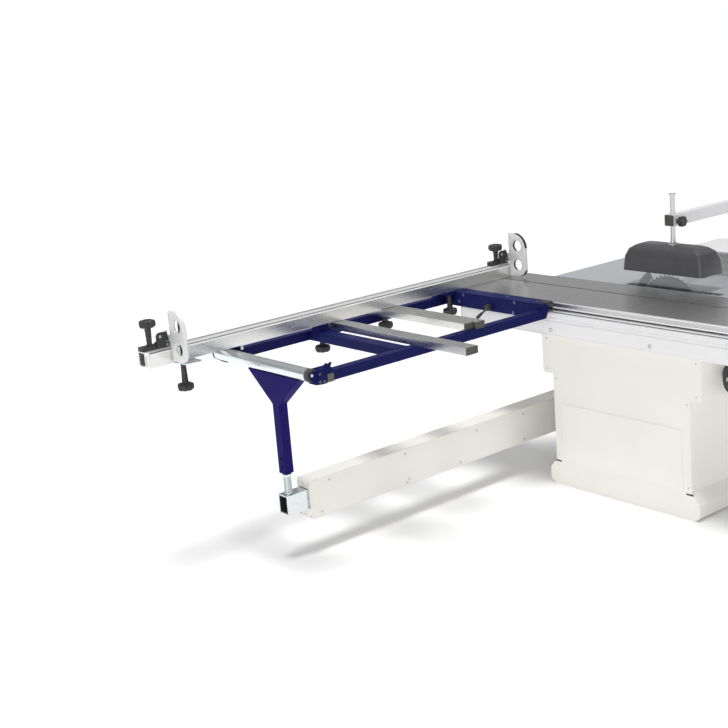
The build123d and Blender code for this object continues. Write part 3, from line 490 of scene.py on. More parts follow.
def plate_mesh(name, loops, plane, start, thickness, edge):
    """Flat plate with holes: loops of (u, v) pairs, outline first. Its edges are rounded by edge."""
    curve = bpy.data.curves.new(name, "CURVE")
    curve.dimensions, curve.fill_mode = "2D", "BOTH"
    curve.extrude, curve.bevel_depth, curve.bevel_resolution = thickness / 2 - edge, edge, 1
    curve.offset = -edge
    for loop in loops:
        spline = curve.splines.new("POLY")
        spline.points.add(len(loop) - 1)
        for point, (u, v) in zip(spline.points, loop):
            point.co = (u, v, 0, 1)
        spline.use_cyclic_u = True
    holder = bpy.data.objects.new(name, curve)
    bpy.context.scene.collection.objects.link(holder)
    bpy.context.view_layer.update()
    mesh = bpy.data.meshes.new_from_object(holder.evaluated_get(bpy.context.evaluated_depsgraph_get()))
    bpy.data.objects.remove(holder)
    shift = start + thickness / 2
    for vertex in mesh.vertices:
        u, v, w = vertex.co
        vertex.co = {"xy": (u, v, w + shift), "xz": (u, w + shift, v), "yz": (w + shift, u, v)}[plane]
    bm = bmesh.new()
    bm.from_mesh(mesh)
    bmesh.ops.remove_doubles(bm, verts=bm.verts, dist=WELD_DISTANCE)
    bmesh.ops.recalc_face_normals(bm, faces=bm.faces)
    bm.to_mesh(mesh)
    bm.free()
    return mesh


# ---------------------------------------------------------------- hand knobs and lever


def lobed(count, depth):
    """Radius factor of a head with round lobes."""
    def factor(angle):
        return 1.0 - depth * (0.5 - 0.5 * math.cos(count * angle)) ** 1.6
    return factor


def star_knob(node, body, standing):
    """Lobed clamp knob on a tapered neck, with a collar and a recessed cap."""
    a, b, centre = low(node), high(node), middle(node)
    up = 1 if standing else -1
    pin, head, radius = 17, 31, 34
    head_end = b.z if standing else a.z
    neck_end = a.z if standing else b.z
    direction = Z_AXIS * up
    base = Vector((centre.x, centre.y, neck_end))
    length = abs(head_end - neck_end)
    if standing:
        base.z += pin
        length -= pin
    bm = bmesh.new()
    neck = [(13, 0), (13, 4), (10.5, 6), (12.0, length * 0.45),
            (13.5, length - head - 3), (18, length - head + 2)]
    lathe(bm, neck, base, direction, segments=28)
    bottom = length - head
    rim = [(0.52, 0.0), (0.80, 0.05), (0.95, 0.18), (1.0, 0.36), (1.0, 0.66), (0.95, 0.84), (0.84, 0.95),
           (0.64, 1.0), (0.46, 1.0), (0.43, 0.93), (0.06, 0.93)]
    lathe(bm, [(radius * r, bottom + head * h) for r, h in rim], base, direction, 84, lobed(7, 0.17))
    if standing:
        lathe(bm, [(8, -pin), (8, 3)], base, direction, 20)
    place(f"{node}_moulded", bm, plastic_black_and_shade, body, angle=40, stands_for=(node,))


star_knob("brace_knob", "brace_clamp", False)
star_knob("support_bar_knob", "bar_clamp", False)
star_knob("fence_pivot_knob", "pivot_clamp", False)
star_knob("extension_lock_knob", "extension_clamp", False)
star_knob("left_stop_knob", "left_clamp", True)
star_knob("right_stop_knob", "right_clamp", True)


def clamp_lever():
    """Ratchet lever: splined hub on a lying screw, bent rod and grip."""
    a, b = corners("frame_clamp_lever")
    outer = low("outrigger_channel").x
    hub = Vector((outer - 1, a.y + 15, b.z - 15))
    start = hub - X_AXIS * 14
    swing = Vector((0, 0.8, -0.6))
    grip = [(4.6, 54), (7, 57), (7.2, 74), (8, 90), (6.5, 96), (3, 98)]
    shape("frame_clamp_lever_moulded", plastic_black_and_shade, "frame_lever",
          (lathe, [(11, 0), (13, 2), (13, 7), (15, 9), (15, 25), (12, 28), (6, 28)], hub, -X_AXIS, 54,
           lobed(18, 0.07)),
          (lathe, [(6, -1), (6, b.x - hub.x)], hub, X_AXIS, 20),
          (lathe, [(6, 4), (6, 16), (4.6, 20), (4.6, 58)], start, swing, 16),
          (lathe, grip, start, swing, 20), angle=40, stands_for=("frame_clamp_lever",))


clamp_lever()

# ---------------------------------------------------------------- flip stops

# Stop plate: radius of its upper and lower front corner and of its windows
PLATE_TOP, PLATE_FOOT, WINDOW = 72, 42, 26


def flip_stop(side):
    """Cast holder with its ear and ribs, bevelled plate with two round windows, and their screws."""
    base, plate = f"{side}_stop_base", f"{side}_stop_plate"
    stop, flip = f"{side}_stop", f"{side}_flip"
    a, b = corners(base)
    c, d = corners(plate)
    floor, top = a.z + 1, a.z + 18
    ear_x, face = c.x - 30, a.y
    bm = bmesh.new()
    prism(bm, rounded(a.x, c.x - 0.5, face + 8, b.y, 6), "xy", floor, top)
    rib_pitch = 8
    for step in range(int((c.x - a.x - 6) / rib_pitch)):
        x = a.x + 3 + rib_pitch * step
        block(bm, (x, face + 6.6, floor - 0.6), (x + 4.5, face + 9, floor + 9))
    prism(bm, rounded(ear_x - 28, ear_x + 26, face + 10, face + 26, 5), "xy", top - 2, top + 9)
    place(f"{side}_stop_casting", bm, plastic_black_and_shade, stop, bevel=1.4, stands_for=(base,))

    # Upright ear in front of the holder, with its upper hole and the lower lug
    peak = b.z
    eye, lug = (ear_x - 11, peak - 16), (ear_x + 19, a.z + 11)
    ear = (arc((ear_x + 12, peak - 11), 11, 0, 90, 6) + arc(eye, 16, 90, 180, 8)
           + [(ear_x - 28, top + 4), (ear_x - 28, a.z + 3)] + arc(lug, 11, 270, 350, 8))
    upper = arc(eye, 6, 360, 0, 16)[:-1]
    lower = arc(lug, 4.2, 360, 0, 14)[:-1]
    mesh = plate_mesh(f"{side}_stop_ear", [ear, upper, lower], "xz", face + 1.2, 9.4, 1.1)
    dress(f"{side}_stop_ear", mesh, plastic_black_and_shade, stop)
    eyelets = bmesh.new()
    for (x, z), radius in ((eye, 5.9), (lug, 4.1)):
        ring_shape(eyelets, [(radius - 2.2, 0), (radius, 0), (radius, 8.6), (radius - 2.2, 8.6)],
                   (x, face + 1.6, z), Y_AXIS, 24)
        lathe(eyelets, [(radius - 2.0, 4), (radius - 2.0, 7)], (x, face + 1.6, z), Y_AXIS, 20)
    place(f"{side}_stop_eyelets", eyelets, metal_screw, stop, angle=30)

    # Sheet gusset between the holder and the plate, and the hinge pin
    shape(f"{side}_stop_gusset", metal_plate, stop,
          (prism, [(ear_x + 10, peak - 30), (c.x - 0.6, top + 1), (c.x - 0.6, peak + 6),
           (ear_x + 18, peak + 1)], "xz", face + 11, face + 13.5), bevel=0.4)
    hinge = Vector((c.x, d.y - 13, c.z + 83))
    shape(f"{side}_stop_pin", metal_screw, stop,
          (lathe, [(4.9, -18), (4.9, 13)], hinge, X_AXIS, 24),
          (lathe, [(8, 12.2), (8, 13.4), (5.5, 15.6)], hinge, X_AXIS, 24), angle=30)

    front, back = c.y, c.y + 111
    top_corner, foot_corner = (front + PLATE_TOP, d.z - PLATE_TOP), (front + PLATE_FOOT, c.z + PLATE_FOOT)
    outline = ([(back, c.z)] + arc(foot_corner, PLATE_FOOT, 270, 180, 12)
               + arc(top_corner, PLATE_TOP, 180, 90, 18)
               + [(back - 5, d.z), (back, d.z - 5), (back, c.z + 104), (d.y - 3, c.z + 104),
                  (d.y, c.z + 101), (d.y, c.z + 67), (d.y - 3, c.z + 64), (back, c.z + 64)])
    centres = [(front + 55, c.z + height) for height in (144, 52)]
    windows = [arc(centre, WINDOW, 360, 0, 40)[:-1] for centre in centres]
    mesh = plate_mesh(f"{side}_stop_plate_cut", [outline, *windows], "yz", c.x, d.x - c.x, 1.6)
    dress(f"{side}_stop_plate_cut", mesh, metal_plate, flip, stands_for=(plate,))

    # Painted shade: the right plate gets dark bands round both front corners and thin crescents in its
    # windows, the left plate wide crescents in its windows only
    shade_marks = bmesh.new()
    if side == "right":
        for centre, radius, start, end in ((top_corner, PLATE_TOP, 176, 94),
                                           (foot_corner, PLATE_FOOT, 268, 196)):
            shade_band = arc(centre, radius + 0.3, start, end, 22) + arc(centre, radius - 2.6, end, start, 22)
            prism(shade_marks, shade_band, "yz", c.x - 0.3, d.x + 0.3)
    for y, z in centres:
        if side == "right":
            crescent = arc((y, z), WINDOW + 0.3, -70, 70, 18) + arc((y, z), WINDOW - 0.9, 70, -70, 18)
            prism(shade_marks, crescent, "yz", c.x + 0.6, d.x - 0.6)
        else:
            crescent = arc((y, z), WINDOW + 0.4, 118, 242, 18) + arc((y + 8, z), 31, 229, 131, 18)
            prism(shade_marks, crescent, "yz", c.x - 0.3, c.x + 4)
    place(f"{side}_stop_painted_shade", shade_marks, rubber_black_and_shade, flip, angle=50)

    shape(f"{side}_stop_screws", metal_screw, flip,
          *((dome_screw, (c.x - 0.2, y, c.z + z), -X_AXIS, 3.6)
            for y, z in ((back - 9, 14), (back - 9, 186), (back - 12, 118))), angle=30)


flip_stop("left")
flip_stop("right")

# ---------------------------------------------------------------- crosscut fence details


def ticks(start, end, lengths):
    """Place and length of each tick of a scale: every tenth, every fifth, the others."""
    for index in range(int((end - start) / SCALE_PITCH)):
        rank = 0 if index % 10 == 0 else (1 if index % 5 == 0 else 2)
        yield start + index * SCALE_PITCH, lengths[rank]


def fence_details():
    """End of the extension, painted highlight, painted shade lines and lit top skin of both profiles, clamp
    plate and measuring strip.
    """
    a = low("fence_extension")
    # End cap of the extension: pale rim, dark ribbed plug and a narrow slot beside it
    cap_low, cap_high = Vector((a.x - 9, a.y - 9, a.z + 3)), Vector((a.x + 4, a.y + 68, a.z + 66))
    outline = rounded(cap_low.y, cap_high.y, cap_low.z, cap_high.z, 3)
    well = list(reversed(rounded(a.y + 18, a.y + 62, a.z + 8, a.z + 60, 2)))
    slot = list(reversed(rounded(a.y + 2, a.y + 10, a.z + 12, a.z + 54, 3)))
    mesh = plate_mesh("extension_rim", [outline, well, slot], "yz", cap_low.x, 9, 0.9)
    dress("extension_rim", mesh, metal_pale_and_highlight, "extension")
    bm = bmesh.new()
    block(bm, (cap_low.x + 5, a.y + 1, a.z + 8), (a.x - 0.5, a.y + 63, a.z + 61))
    for row in range(4):
        z = a.z + 12 + 12.5 * row
        prism(bm, rounded(a.y + 22, a.y + 59, z, z + 7, 1.5, 3), "yz", cap_low.x + 1.5, cap_low.x + 6)
    place("extension_plug", bm, plastic_black_and_shade, "extension", bevel=0.6)

    # Painted highlight on the top chamfer, painted shade lines at the slope's foot, in the top slots and
    # along the underside, and a lit copy of the anodised finish as skin on the top of both profiles
    for part, body in (("fence_profile", "crosscut_fence"), ("fence_extension", "extension")):
        node_low, node_high = corners(part)
        left = node_low.x + 0.5
        right = node_high.x - 0.5 if part == "fence_profile" else low("fence_profile").x - 1
        y, base = node_low.y, node_low.z
        painted_chamfer_highlight, shadow = bmesh.new(), bmesh.new()
        # Painted highlight: near-white strip along the face's top chamfer
        prism(painted_chamfer_highlight, [(y - 0.4, base + 50.6), (y - 0.4, base + 55.4), (y + 6.0, base + 56.4),
                        (y + 6.0, base + 54.6), (y + 1, base + 50.6)], "yz", left, right)
        place(f"{part}_chamfer", painted_chamfer_highlight, metal_pale_and_highlight, body, bevel=0.25)
        # Painted shade: dark strips at the foot of the top slope, in the two slots on top and along the
        # underside of the profile
        prism(shadow, [(y + 6.2, base + 55.2), (y + 6.0, base + 56.6), (y + 7.4, base + 59.0),
                       (y + 8.4, base + 58.2)], "yz", left, right)
        for y0, y1 in ((15.2, 17.6), (25.4, 32.6)):
            block(shadow, (left, y + y0, base + 67.2), (right, y + y1, base + 68.3))
        block(shadow, (left, y + 1.5, base - 0.6), (right, y + 5, base + 0.4))
        place(f"{part}_painted_shade_lines", shadow, metal_dark_and_shade, body, slot="black_plastic", bevel=0.15)
        # Painted light: a less metallic copy of the anodised finish as a skin on the top faces, so they read
        # lighter
        shape(f"{part}_lit_top_skin", metal_fence_lit_top, body,
              (prism, [(y + 8.6, base + 59.4), (y + 8.0, base + 59.4), (y + 13.6, base + 68.15),
               (y + 24.8, base + 68.15), (y + 24.8, base + 67.6), (y + 15.0, base + 67.6)], "yz", left,
               right),
              (block, (left, y + 33.2, base + 67.6), (right, y + 42, base + 68.15)))

    c, d = corners("fence_profile")
    outline = [(c.y + 1.5, c.z + 1.5), (d.y - 1.5, c.z + 1.5), (d.y - 1.5, c.z + 52),
               (c.y + 43, c.z + 52), (c.y + 43, d.z - 1.5), (c.y + 15, d.z - 1.5),
               (c.y + 8, c.z + 53), (c.y + 1.5, c.z + 53)]
    shape("fence_end_cap", plastic_cap, "crosscut_fence", (prism, outline, "yz", d.x, d.x + 3), bevel=0.9)

    # Clamp plate under the fence: sheet with a hole for the knob's screw, a tab and two screws
    e, f = corners("fence_clamp_plate")
    outline = rounded(e.x, f.x, e.y - 16, f.y, 9)
    knob = middle("extension_lock_knob")
    hole = arc((knob.x, knob.y), 9, 360, 0, 20)[:-1]
    mesh = plate_mesh("clamp_plate_sheet", [outline, hole], "xy", e.z + 2.6, 5, 0.8)
    dress("clamp_plate_sheet", mesh, metal_zinc, "crosscut_fence", stands_for=("fence_clamp_plate",))
    shape("clamp_plate_tab", metal_zinc, "crosscut_fence",
          (block, (e.x - 12, e.y + 40, e.z + 3), (e.x + 2, f.y - 4, e.z + 7)), bevel=0.8)
    shape("clamp_plate_screws", metal_screw, "crosscut_fence",
          *((hexagon, (x, f.y - 22, e.z + 2.6), -Z_AXIS, 13, 6) for x in (e.x + 14, f.x - 14)), angle=30)

    # Measuring strip on the ledge behind the face: plain ticks, no figures
    shape("fence_scale_strip", metal_plate, "crosscut_fence",
          (block, (c.x + 20, c.y + 46, c.z + 53.0), (d.x - 20, d.y - 2, c.z + 53.5)), bevel=0.1)
    shape("fence_scale_ticks", plastic_black_and_shade, "crosscut_fence",
          *((block, (x, d.y - 3 - deep, c.z + 53.4), (x + 0.7, d.y - 3, c.z + 53.7))
            for x, deep in ticks(c.x + 30, d.x - 30, (6.5, 5, 3))), angle=30)


fence_details()

# ---------------------------------------------------------------- end roller and its forks


def end_roller():
    """Roller tube, its flanged end caps and its axle."""
    a, b = corners("support_roller")
    axis = Vector((middle("support_roller").x, 0, middle("support_roller").z))
    start, end, radius = a.y + 17, b.y - 36, 26
    shape("roller_tube", metal_roller, "end_roller",
          (lathe, [(radius - 4, 0), (radius - 1, 0), (radius, 1.5), (radius, end - start - 1.5),
           (radius - 1, end - start), (radius - 4, end - start)], axis + Y_AXIS * start, Y_AXIS, 96),
          angle=25, stands_for=("support_roller",))
    cap = [(7, 0), (12, 0), (13, 2), (19, 2.4), (20.5, 0), (25.5, 0), (27, 1.5), (27, 11), (24.5, 13)]
    shape("roller_end_caps", plastic_cap, "end_roller",
          (lathe, cap, axis + Y_AXIS * (start - 10.5), Y_AXIS, 48),
          (lathe, cap, axis + Y_AXIS * (end + 10.5), -Y_AXIS, 48), angle=30)
    shape("roller_axle", metal_screw, "end_roller",
          (lathe, [(5.9, -1), (5.9, b.y - a.y)], axis + Y_AXIS * a.y, Y_AXIS, 20), angle=30)


end_roller()


def roller_forks():
    """Cast end brackets on both tubes: ribbed cheek with the axle's eye, clip, bolts and plastic sleeve."""
    a, b = corners("roller_brackets")
    tubes_low, tubes_high = corners("outrigger_long_tubes")
    roller = middle("support_roller")
    tube_end, top, bottom = tubes_low.x, tubes_high.z, tubes_low.z
    cheeks, sleeves, bolts, clips = bmesh.new(), bmesh.new(), bmesh.new(), bmesh.new()
    for outer_y, inward in ((a.y + 4, 1), (b.y - 4, -1)):
        def span(near, far):
            return sorted((outer_y + inward * near, outer_y + inward * far))

        outline = (arc((roller.x, roller.z), 11.5, 130, 230, 10)
                   + [(roller.x + 8, bottom + 8), (tube_end - 6, bottom - 1),
                      (tube_end + 18, bottom - 4), (tube_end + 42, bottom - 4),
                      (tube_end + 42, top - 5), (tube_end + 76, top - 5),
                      (tube_end + 76, top + 5), (tube_end + 48, top + 18),
                      (tube_end + 6, top + 20), (tube_end - 12, top + 17)])
        eye = arc((roller.x, roller.z), 6.3, 360, 0, 18)[:-1]
        y0, y1 = span(-1, 5.5)
        mesh = plate_mesh("cheek", [outline, eye], "xz", y0, y1 - y0, 1.2)
        cheeks.from_mesh(mesh)
        bpy.data.meshes.remove(mesh)
        # Ribs beside the eye, the bridge across the tube's end and the top flange
        for rib in range(4):
            x = roller.x + 14 + 6.5 * rib
            y2, y3 = span(-3.2, 0)
            block(cheeks, (x, y2, bottom + 12), (x + 2.6, y3, top + 12))
        y2, y3 = span(2, 52)
        block(cheeks, (tube_end - 9, y2, bottom - 2), (tube_end - 3, y3, top + 14))
        block(cheeks, (tube_end - 9, y2, top + 9), (tube_end + 70, y3, top + 14))
        y2, y3 = span(-3, 0)
        block(cheeks, (tube_end + 20, y2, top - 3), (tube_end + 74, y3, top + 3))
        # Clip with two prongs standing on the flange
        for shift in (0, 20):
            hook = [(tube_end + 34 + shift, top + 13), (tube_end + 46 + shift, top + 13),
                    (tube_end + 50 + shift, top + 24), (tube_end + 55 + shift, top + 29),
                    (tube_end + 53 + shift, top + 32), (tube_end + 44 + shift, top + 28),
                    (tube_end + 39 + shift, top + 21)]
            y4, y5 = span(4, 16)
            prism(clips, hook, "xz", y4, y5)
        for x, z in ((8, 8), (30, 6), (10, 38)):
            centre = (tube_end + x, outer_y - inward * 1, bottom + z)
            hexagon(bolts, centre, Vector((0, -inward, 0)), 8, 2.8)
            lathe(bolts, [(5.5, -0.5), (5.5, 0.9)], centre, Vector((0, -inward, 0)), 24)
        centre_y = outer_y + inward * 26
        left, right = tube_end + 41, tube_end + 80
        prism(sleeves if inward > 0 else cheeks,
              rounded(centre_y - 24, centre_y + 24, bottom - 4, top + 4, 4), "yz", left, right)
        y6, y7 = span(-0.6, 1.5)
        prism(sleeves, rounded(left + 4, right - 4, bottom + 1, top - 9, 2), "xz", y6, y7)
    # Pale cap screw on the far bracket's inner side
    shape("tube_sleeve_screw", metal_screw, "carriage",
          (lathe, [(9, -1), (9, 4), (7.5, 6.5), (4, 7.5)], (right - 12, centre_y - 25, top + 6), -Y_AXIS, 28),
          angle=30)
    place("roller_bracket_castings", cheeks, paint_navy, "carriage", bevel=0.7,
          stands_for=("roller_brackets",))
    place("roller_bracket_clips", clips, paint_navy, "carriage", bevel=0.8)
    place("tube_sleeves", sleeves, plastic_sleeve, "carriage", bevel=0.9)
    place("roller_bracket_bolts", bolts, metal_dark_and_shade, "carriage", angle=30)


roller_forks()

# ---------------------------------------------------------------- outrigger frame


def weld(bm, start, end, radius=2.2):
    """Row of overlapping weld ripples between two points."""
    start, end = Vector(start), Vector(end)
    length = (end - start).length
    count = max(2, int(length / (radius * 0.9)))
    for index in range(count + 1):
        centre = start.lerp(end, index / count)
        bmesh.ops.create_icosphere(bm, subdivisions=1, radius=radius, matrix=Matrix.Translation(centre))


def outrigger_details():
    """Weld beads, bolts, end cap and folded edges of the outrigger frame."""
    near, far = corners("outrigger_long_tubes")
    brace_low, brace_high = corners("outrigger_cross_tubes")
    channel_low, channel_high = corners("outrigger_channel")
    tube = far.z - near.z
    welds = bmesh.new()
    brace_left, brace_right = brace_high.x - 58, brace_high.x
    for y in (brace_low.y, brace_high.y):
        weld(welds, (brace_left, y, far.z), (brace_right, y, far.z))
        for x in (brace_left, brace_right):
            weld(welds, (x, y, near.z), (x, y, far.z))
    for y in (near.y, near.y + tube, far.y - tube, far.y):
        weld(welds, (channel_low.x, y, near.z + 3), (channel_low.x, y, far.z))
    place("frame_welds", welds, paint_navy, "carriage", angle=60)

    bolts = bmesh.new()
    web_x = channel_low.x
    for y, z in ((494, 57), (524, 24), (167, 57), (177, 10)):
        centre = Vector((web_x, channel_low.y + y, channel_low.z + z))
        lathe(bolts, [(8, -0.5), (8, 1.2)], centre, -X_AXIS, 26)
        hexagon(bolts, centre - X_AXIS * 1.2, -X_AXIS, 11, 4.5)
    middle_x = (channel_low.x + channel_high.x) / 2
    for y in (60, 243, 420):
        dome_screw(bolts, (middle_x, channel_low.y + y, channel_high.z), Z_AXIS, 6)
    place("channel_bolts", bolts, metal_bolt, "carriage", angle=30)

    # Black cap over the inner end of the channel's flange, beside the carriage
    shape("channel_end_cap", plastic_black_and_shade, "carriage",
          (prism, [(channel_high.x - 40, channel_high.z - 8), (channel_high.x - 0.6, channel_high.z - 24),
           (channel_high.x - 0.6, channel_high.z + 1.6), (channel_high.x - 40, channel_high.z + 1.6)], "xz",
           channel_low.y - 3, channel_low.y + 52),
          (prism, rounded(channel_high.x - 36, channel_high.x - 3, channel_high.z - 16, channel_high.z - 3,
           2), "xz", channel_low.y - 8, channel_low.y), bevel=0.9)

    # Folded return along the channel's lower edge and the end gusset
    gusset = [(channel_low.x + 5, channel_low.z), (channel_low.x + 24, channel_low.z),
              (channel_high.x - 8, channel_high.z - 5), (channel_low.x + 5, channel_high.z - 5)]
    shape("channel_folds", paint_navy, "carriage",
          (block, (channel_low.x, channel_low.y, channel_low.z),
           (channel_low.x + 22, channel_high.y, channel_low.z + 4)),
          (prism, gusset, "xz", channel_low.y + 1, channel_low.y + 5), bevel=0.9)


outrigger_details()


def bar_caps():
    """Plastic end caps of the support bars, the carriage and the long tubes."""
    bm = bmesh.new()
    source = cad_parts["end_caps"].data
    work = bmesh.new()
    work.from_mesh(source)
    bmesh.ops.remove_doubles(work, verts=work.verts, dist=1e-5)
    seen = set()
    for vertex in work.verts:
        if vertex.index in seen:
            continue
        group, stack = [], [vertex]
        seen.add(vertex.index)
        while stack:
            current = stack.pop()
            group.append(current.co * PER_METRE)
            for edge in current.link_edges:
                other = edge.other_vert(current)
                if other.index not in seen:
                    seen.add(other.index)
                    stack.append(other)
        a = Vector([min(p[i] for p in group) for i in range(3)])
        b = Vector([max(p[i] for p in group) for i in range(3)])
        size, inset = b - a, 3.2
        block(bm, a, b)
        thin = min(range(3), key=lambda i: size[i])
        c, d = a + Vector((inset,) * 3), b - Vector((inset,) * 3)
        c[thin] = max(a[thin] - 1.2, cad_box[0][thin] * PER_METRE)
        d[thin] = min(b[thin] + 1.2, cad_box[1][thin] * PER_METRE)
        if all(d[i] > c[i] for i in range(3)):
            block(bm, c, d)
    work.free()
    place("end_caps_moulded", bm, plastic_cap, "carriage", bevel=0.8, stands_for=("end_caps",))


bar_caps()

# ---------------------------------------------------------------- post, foot, arm


def post_foot():
    """Foot plate with its hexagon and a thread up into the post."""
    a = low("post_foot")
    centre = Vector((middle("post_foot").x, middle("post_foot").y, a.z))
    post_bottom = low("support_post").z
    length = post_bottom - a.z
    shape("post_foot_turned", metal_zinc, "carriage",
          (lathe, [(20, 0), (21, 1.5), (21, 5), (19, 6.5), (15.5, 7), (15.5, length + 20)], centre, Z_AXIS,
           40),
          (hexagon, centre + Z_AXIS * (length - 16), Z_AXIS, 38, 14), angle=30, stands_for=("post_foot",))
    thread = bmesh.new()
    pitch = 3
    turns = int((length - 26) / pitch)
    for index in range(turns):
        height = 9 + index * pitch
        ring_shape(thread, [(15.2, height), (16.6, height + pitch * 0.35), (16.6, height + pitch * 0.5),
                            (15.2, height + pitch * 0.9)], centre, Z_AXIS, 32)
    place("post_thread", thread, metal_zinc, "carriage", angle=50)


post_foot()


def post_details():
    """Weld beads of the post's head, its bolts, and the collar at the post's lower end."""
    a, b = corners("support_post")
    centre = middle("support_post")
    half, knee = 21, b.z - 127
    bm = bmesh.new()
    for x in (a.x, b.x):
        weld(bm, (x, a.y + 4, b.z - 1), (x, b.y - 4, b.z - 1))
    for side in (-1, 1):
        edge = centre.y + side * half
        weld(bm, (a.x + 2, edge, knee), (b.x - 2, edge, knee), 1.8)
    place("post_welds", bm, paint_violet, "carriage", angle=60)
    bolts = bmesh.new()
    for height in (24, 62):
        lathe(bolts, [(8, -0.5), (8, 1.2)], (a.x, centre.y, a.z + height), -X_AXIS, 24)
        hexagon(bolts, (a.x - 1.2, centre.y, a.z + height), -X_AXIS, 11, 4.5)
    place("post_bolts", bolts, paint_violet, "carriage", angle=30)
    shape("post_end_collar", paint_violet, "carriage",
          (prism, rounded(a.x - 1.4, b.x + 1.4, a.y + 151 - 1.4, a.y + 193 + 1.4, 4), "xy", a.z, a.z + 5),
          bevel=0.8)


post_details()


def swing_arm():
    """Lid, screws, end plate and plastic glides of the sheet-metal arm."""
    a, b = corners("swing_arm")
    tube_low, tube_high = corners("arm_tube")
    height = b.z - a.z
    # Lid folded over the top edge, one sheet thickness proud
    shape("arm_lid", paint_cream, "arm",
          (block, (a.x + 2, a.y - 1.6, b.z - 1), (b.x - 36, b.y + 1.6, b.z + 1.6)),
          *((block, (a.x + 2, y0, b.z - 15), (b.x - 36, y1, b.z + 1.2))
            for y0, y1 in ((a.y - 1.6, a.y), (b.y, b.y + 1.6))), bevel=0.8)

    screws = bmesh.new()
    places = ((97, 148), (47, 23), (515, 142), (515, 14), (527, 26), (835, 16), (945, 136), (1245, 140),
              (1245, 18))
    for x, z in places:
        dome_screw(screws, (a.x + x, a.y - (1.6 if z > height - 15 else 0), a.z + z), -Y_AXIS, 5.5)
        dome_screw(screws, (a.x + x, b.y, a.z + z), Y_AXIS, 5.5)
    plate_places = ((10, 12), (80, 12), (10, 88), (80, 88), (10, 152), (80, 152), (45, 150), (45, 14),
                    (8, 50), (82, 50))
    for y, z in plate_places:
        dome_screw(screws, (a.x - 3, a.y + y, a.z + z), -X_AXIS, 4.5)
    place("arm_screws", screws, metal_screw, "arm", angle=30)

    outline = rounded(a.y + 1.5, b.y - 1.5, a.z + 1.5, b.z - 1.5, 4)
    gap = 1.2
    window = list(reversed(rounded(tube_low.y - gap, tube_high.y + gap, tube_low.z - gap, tube_high.z + gap,
                  2, 3)))
    mesh = plate_mesh("arm_end_plate", [outline, window], "yz", a.x - 3, 3.4, 0.6)
    dress("arm_end_plate", mesh, paint_cream, "arm")

    # Plastic glides round the sliding tube
    shape("arm_glides", plastic_black_and_shade, "arm",
          *((block, (a.x - 5, tube_low.y + 4, z0), (a.x + 4, tube_high.y - 4, z1))
            for z0, z1 in ((tube_low.z - 1.0, tube_low.z - 0.15), (tube_high.z + 0.15, tube_high.z + 1.0))),
          bevel=0.2)


swing_arm()


def arm_pin():
    """Collars, bolts and the hexagon on top of the arm's pivot on the cabinet."""
    a, b = corners("arm_hinge_bracket")
    pivot = Vector((-20, b.y - 36, 0))
    bm = bmesh.new()
    lathe(bm, [(22, 0), (22, 5), (19, 8)], (pivot.x, pivot.y, b.z - 8), Z_AXIS, 36)
    hexagon(bm, (pivot.x, pivot.y, b.z), Z_AXIS, 30, 9)
    for x in (a.x + 14, b.x - 14):
        for z in (a.z + 40, a.z + 175):
            lathe(bm, [(11, 0), (11, 1.8)], (x, a.y + 8, z), Y_AXIS, 28)
            hexagon(bm, (x, a.y + 9.5, z), Y_AXIS, 17, 8)
    place("arm_bracket_bolts", bm, metal_screw, "machine", angle=30)


arm_pin()

# ---------------------------------------------------------------- beam and carriage


def beam_details():
    """End caps, screws and raised side rails of the guide beam."""
    a, b = corners("guide_beam")
    caps = bmesh.new()
    for y0, y1 in ((a.y - 5, a.y), (b.y, b.y + 5)):
        outline = rounded(a.x + 1, b.x - 1, a.z + 1, b.z - 28, 5)
        prism(caps, outline, "xz", y0, y1)
    place("beam_end_caps", caps, plastic_cap, "machine", bevel=1.2)
    screws = bmesh.new()
    for y, direction in ((a.y - 5, -Y_AXIS), (b.y + 5, Y_AXIS)):
        for x in (a.x + 18, b.x - 18):
            for z in (a.z + 14, b.z - 42):
                dome_screw(screws, (x, y, z), direction, 5)
    for y in (-740, -190, 358, 810):
        centre = Vector((a.x, y, a.z + 25))
        lathe(screws, [(9, -1), (9, 1.2), (6.5, 2.6), (6.3, 0.6), (1, 0.6)], centre, -X_AXIS, 28)
    place("beam_screws", screws, metal_screw, "machine", angle=30)
    # Raised rails of the extrusion along the visible side
    shape("beam_side_rails", metal_beam, "machine",
          *((block, (a.x - out, a.y, z0), (a.x + 0.5, b.y, z1))
            for z0, z1, out in ((b.z - 9, b.z - 2, 1.5), (b.z - 30, b.z - 27, 1.0), (a.z, a.z + 5, 1.2))),
          bevel=0.4)


beam_details()


def carriage_details():
    """Side rails, end screws and wiper strip of the sliding carriage."""
    a, b = corners("carriage_profile")
    front = low("outrigger_channel").y - 2
    # Painted light: side rails in a lighter, less metallic copy of the carriage's finish, so the side reads
    # lit
    shape("carriage_side_rails", metal_carriage_lit_side, "carriage",
          *((block, (a.x - out, a.y, z0), (a.x + 0.5, front, z1))
            for z0, z1, out in ((b.z - 8, b.z - 2.5, 2.0), (a.z + 17, a.z + 24, 3.0),
            (a.z + 1, a.z + 6, 2.5))), bevel=0.7)
    shape("carriage_screws", metal_screw, "carriage",
          *((dome_screw, (x, y, b.z - 0.6), Z_AXIS, 4) for y in (a.y + 14, b.y - 14)
            for x in (a.x + 40, (a.x + b.x) / 2 - 30, b.x - 60)), angle=30)
    shape("carriage_wiper", rubber_black_and_shade, "carriage",
          (block, (b.x - 3, a.y + 1, b.z - 13), (b.x + 1.5, b.y - 1, b.z - 3)), bevel=0.4)


carriage_details()

# ---------------------------------------------------------------- cabinet


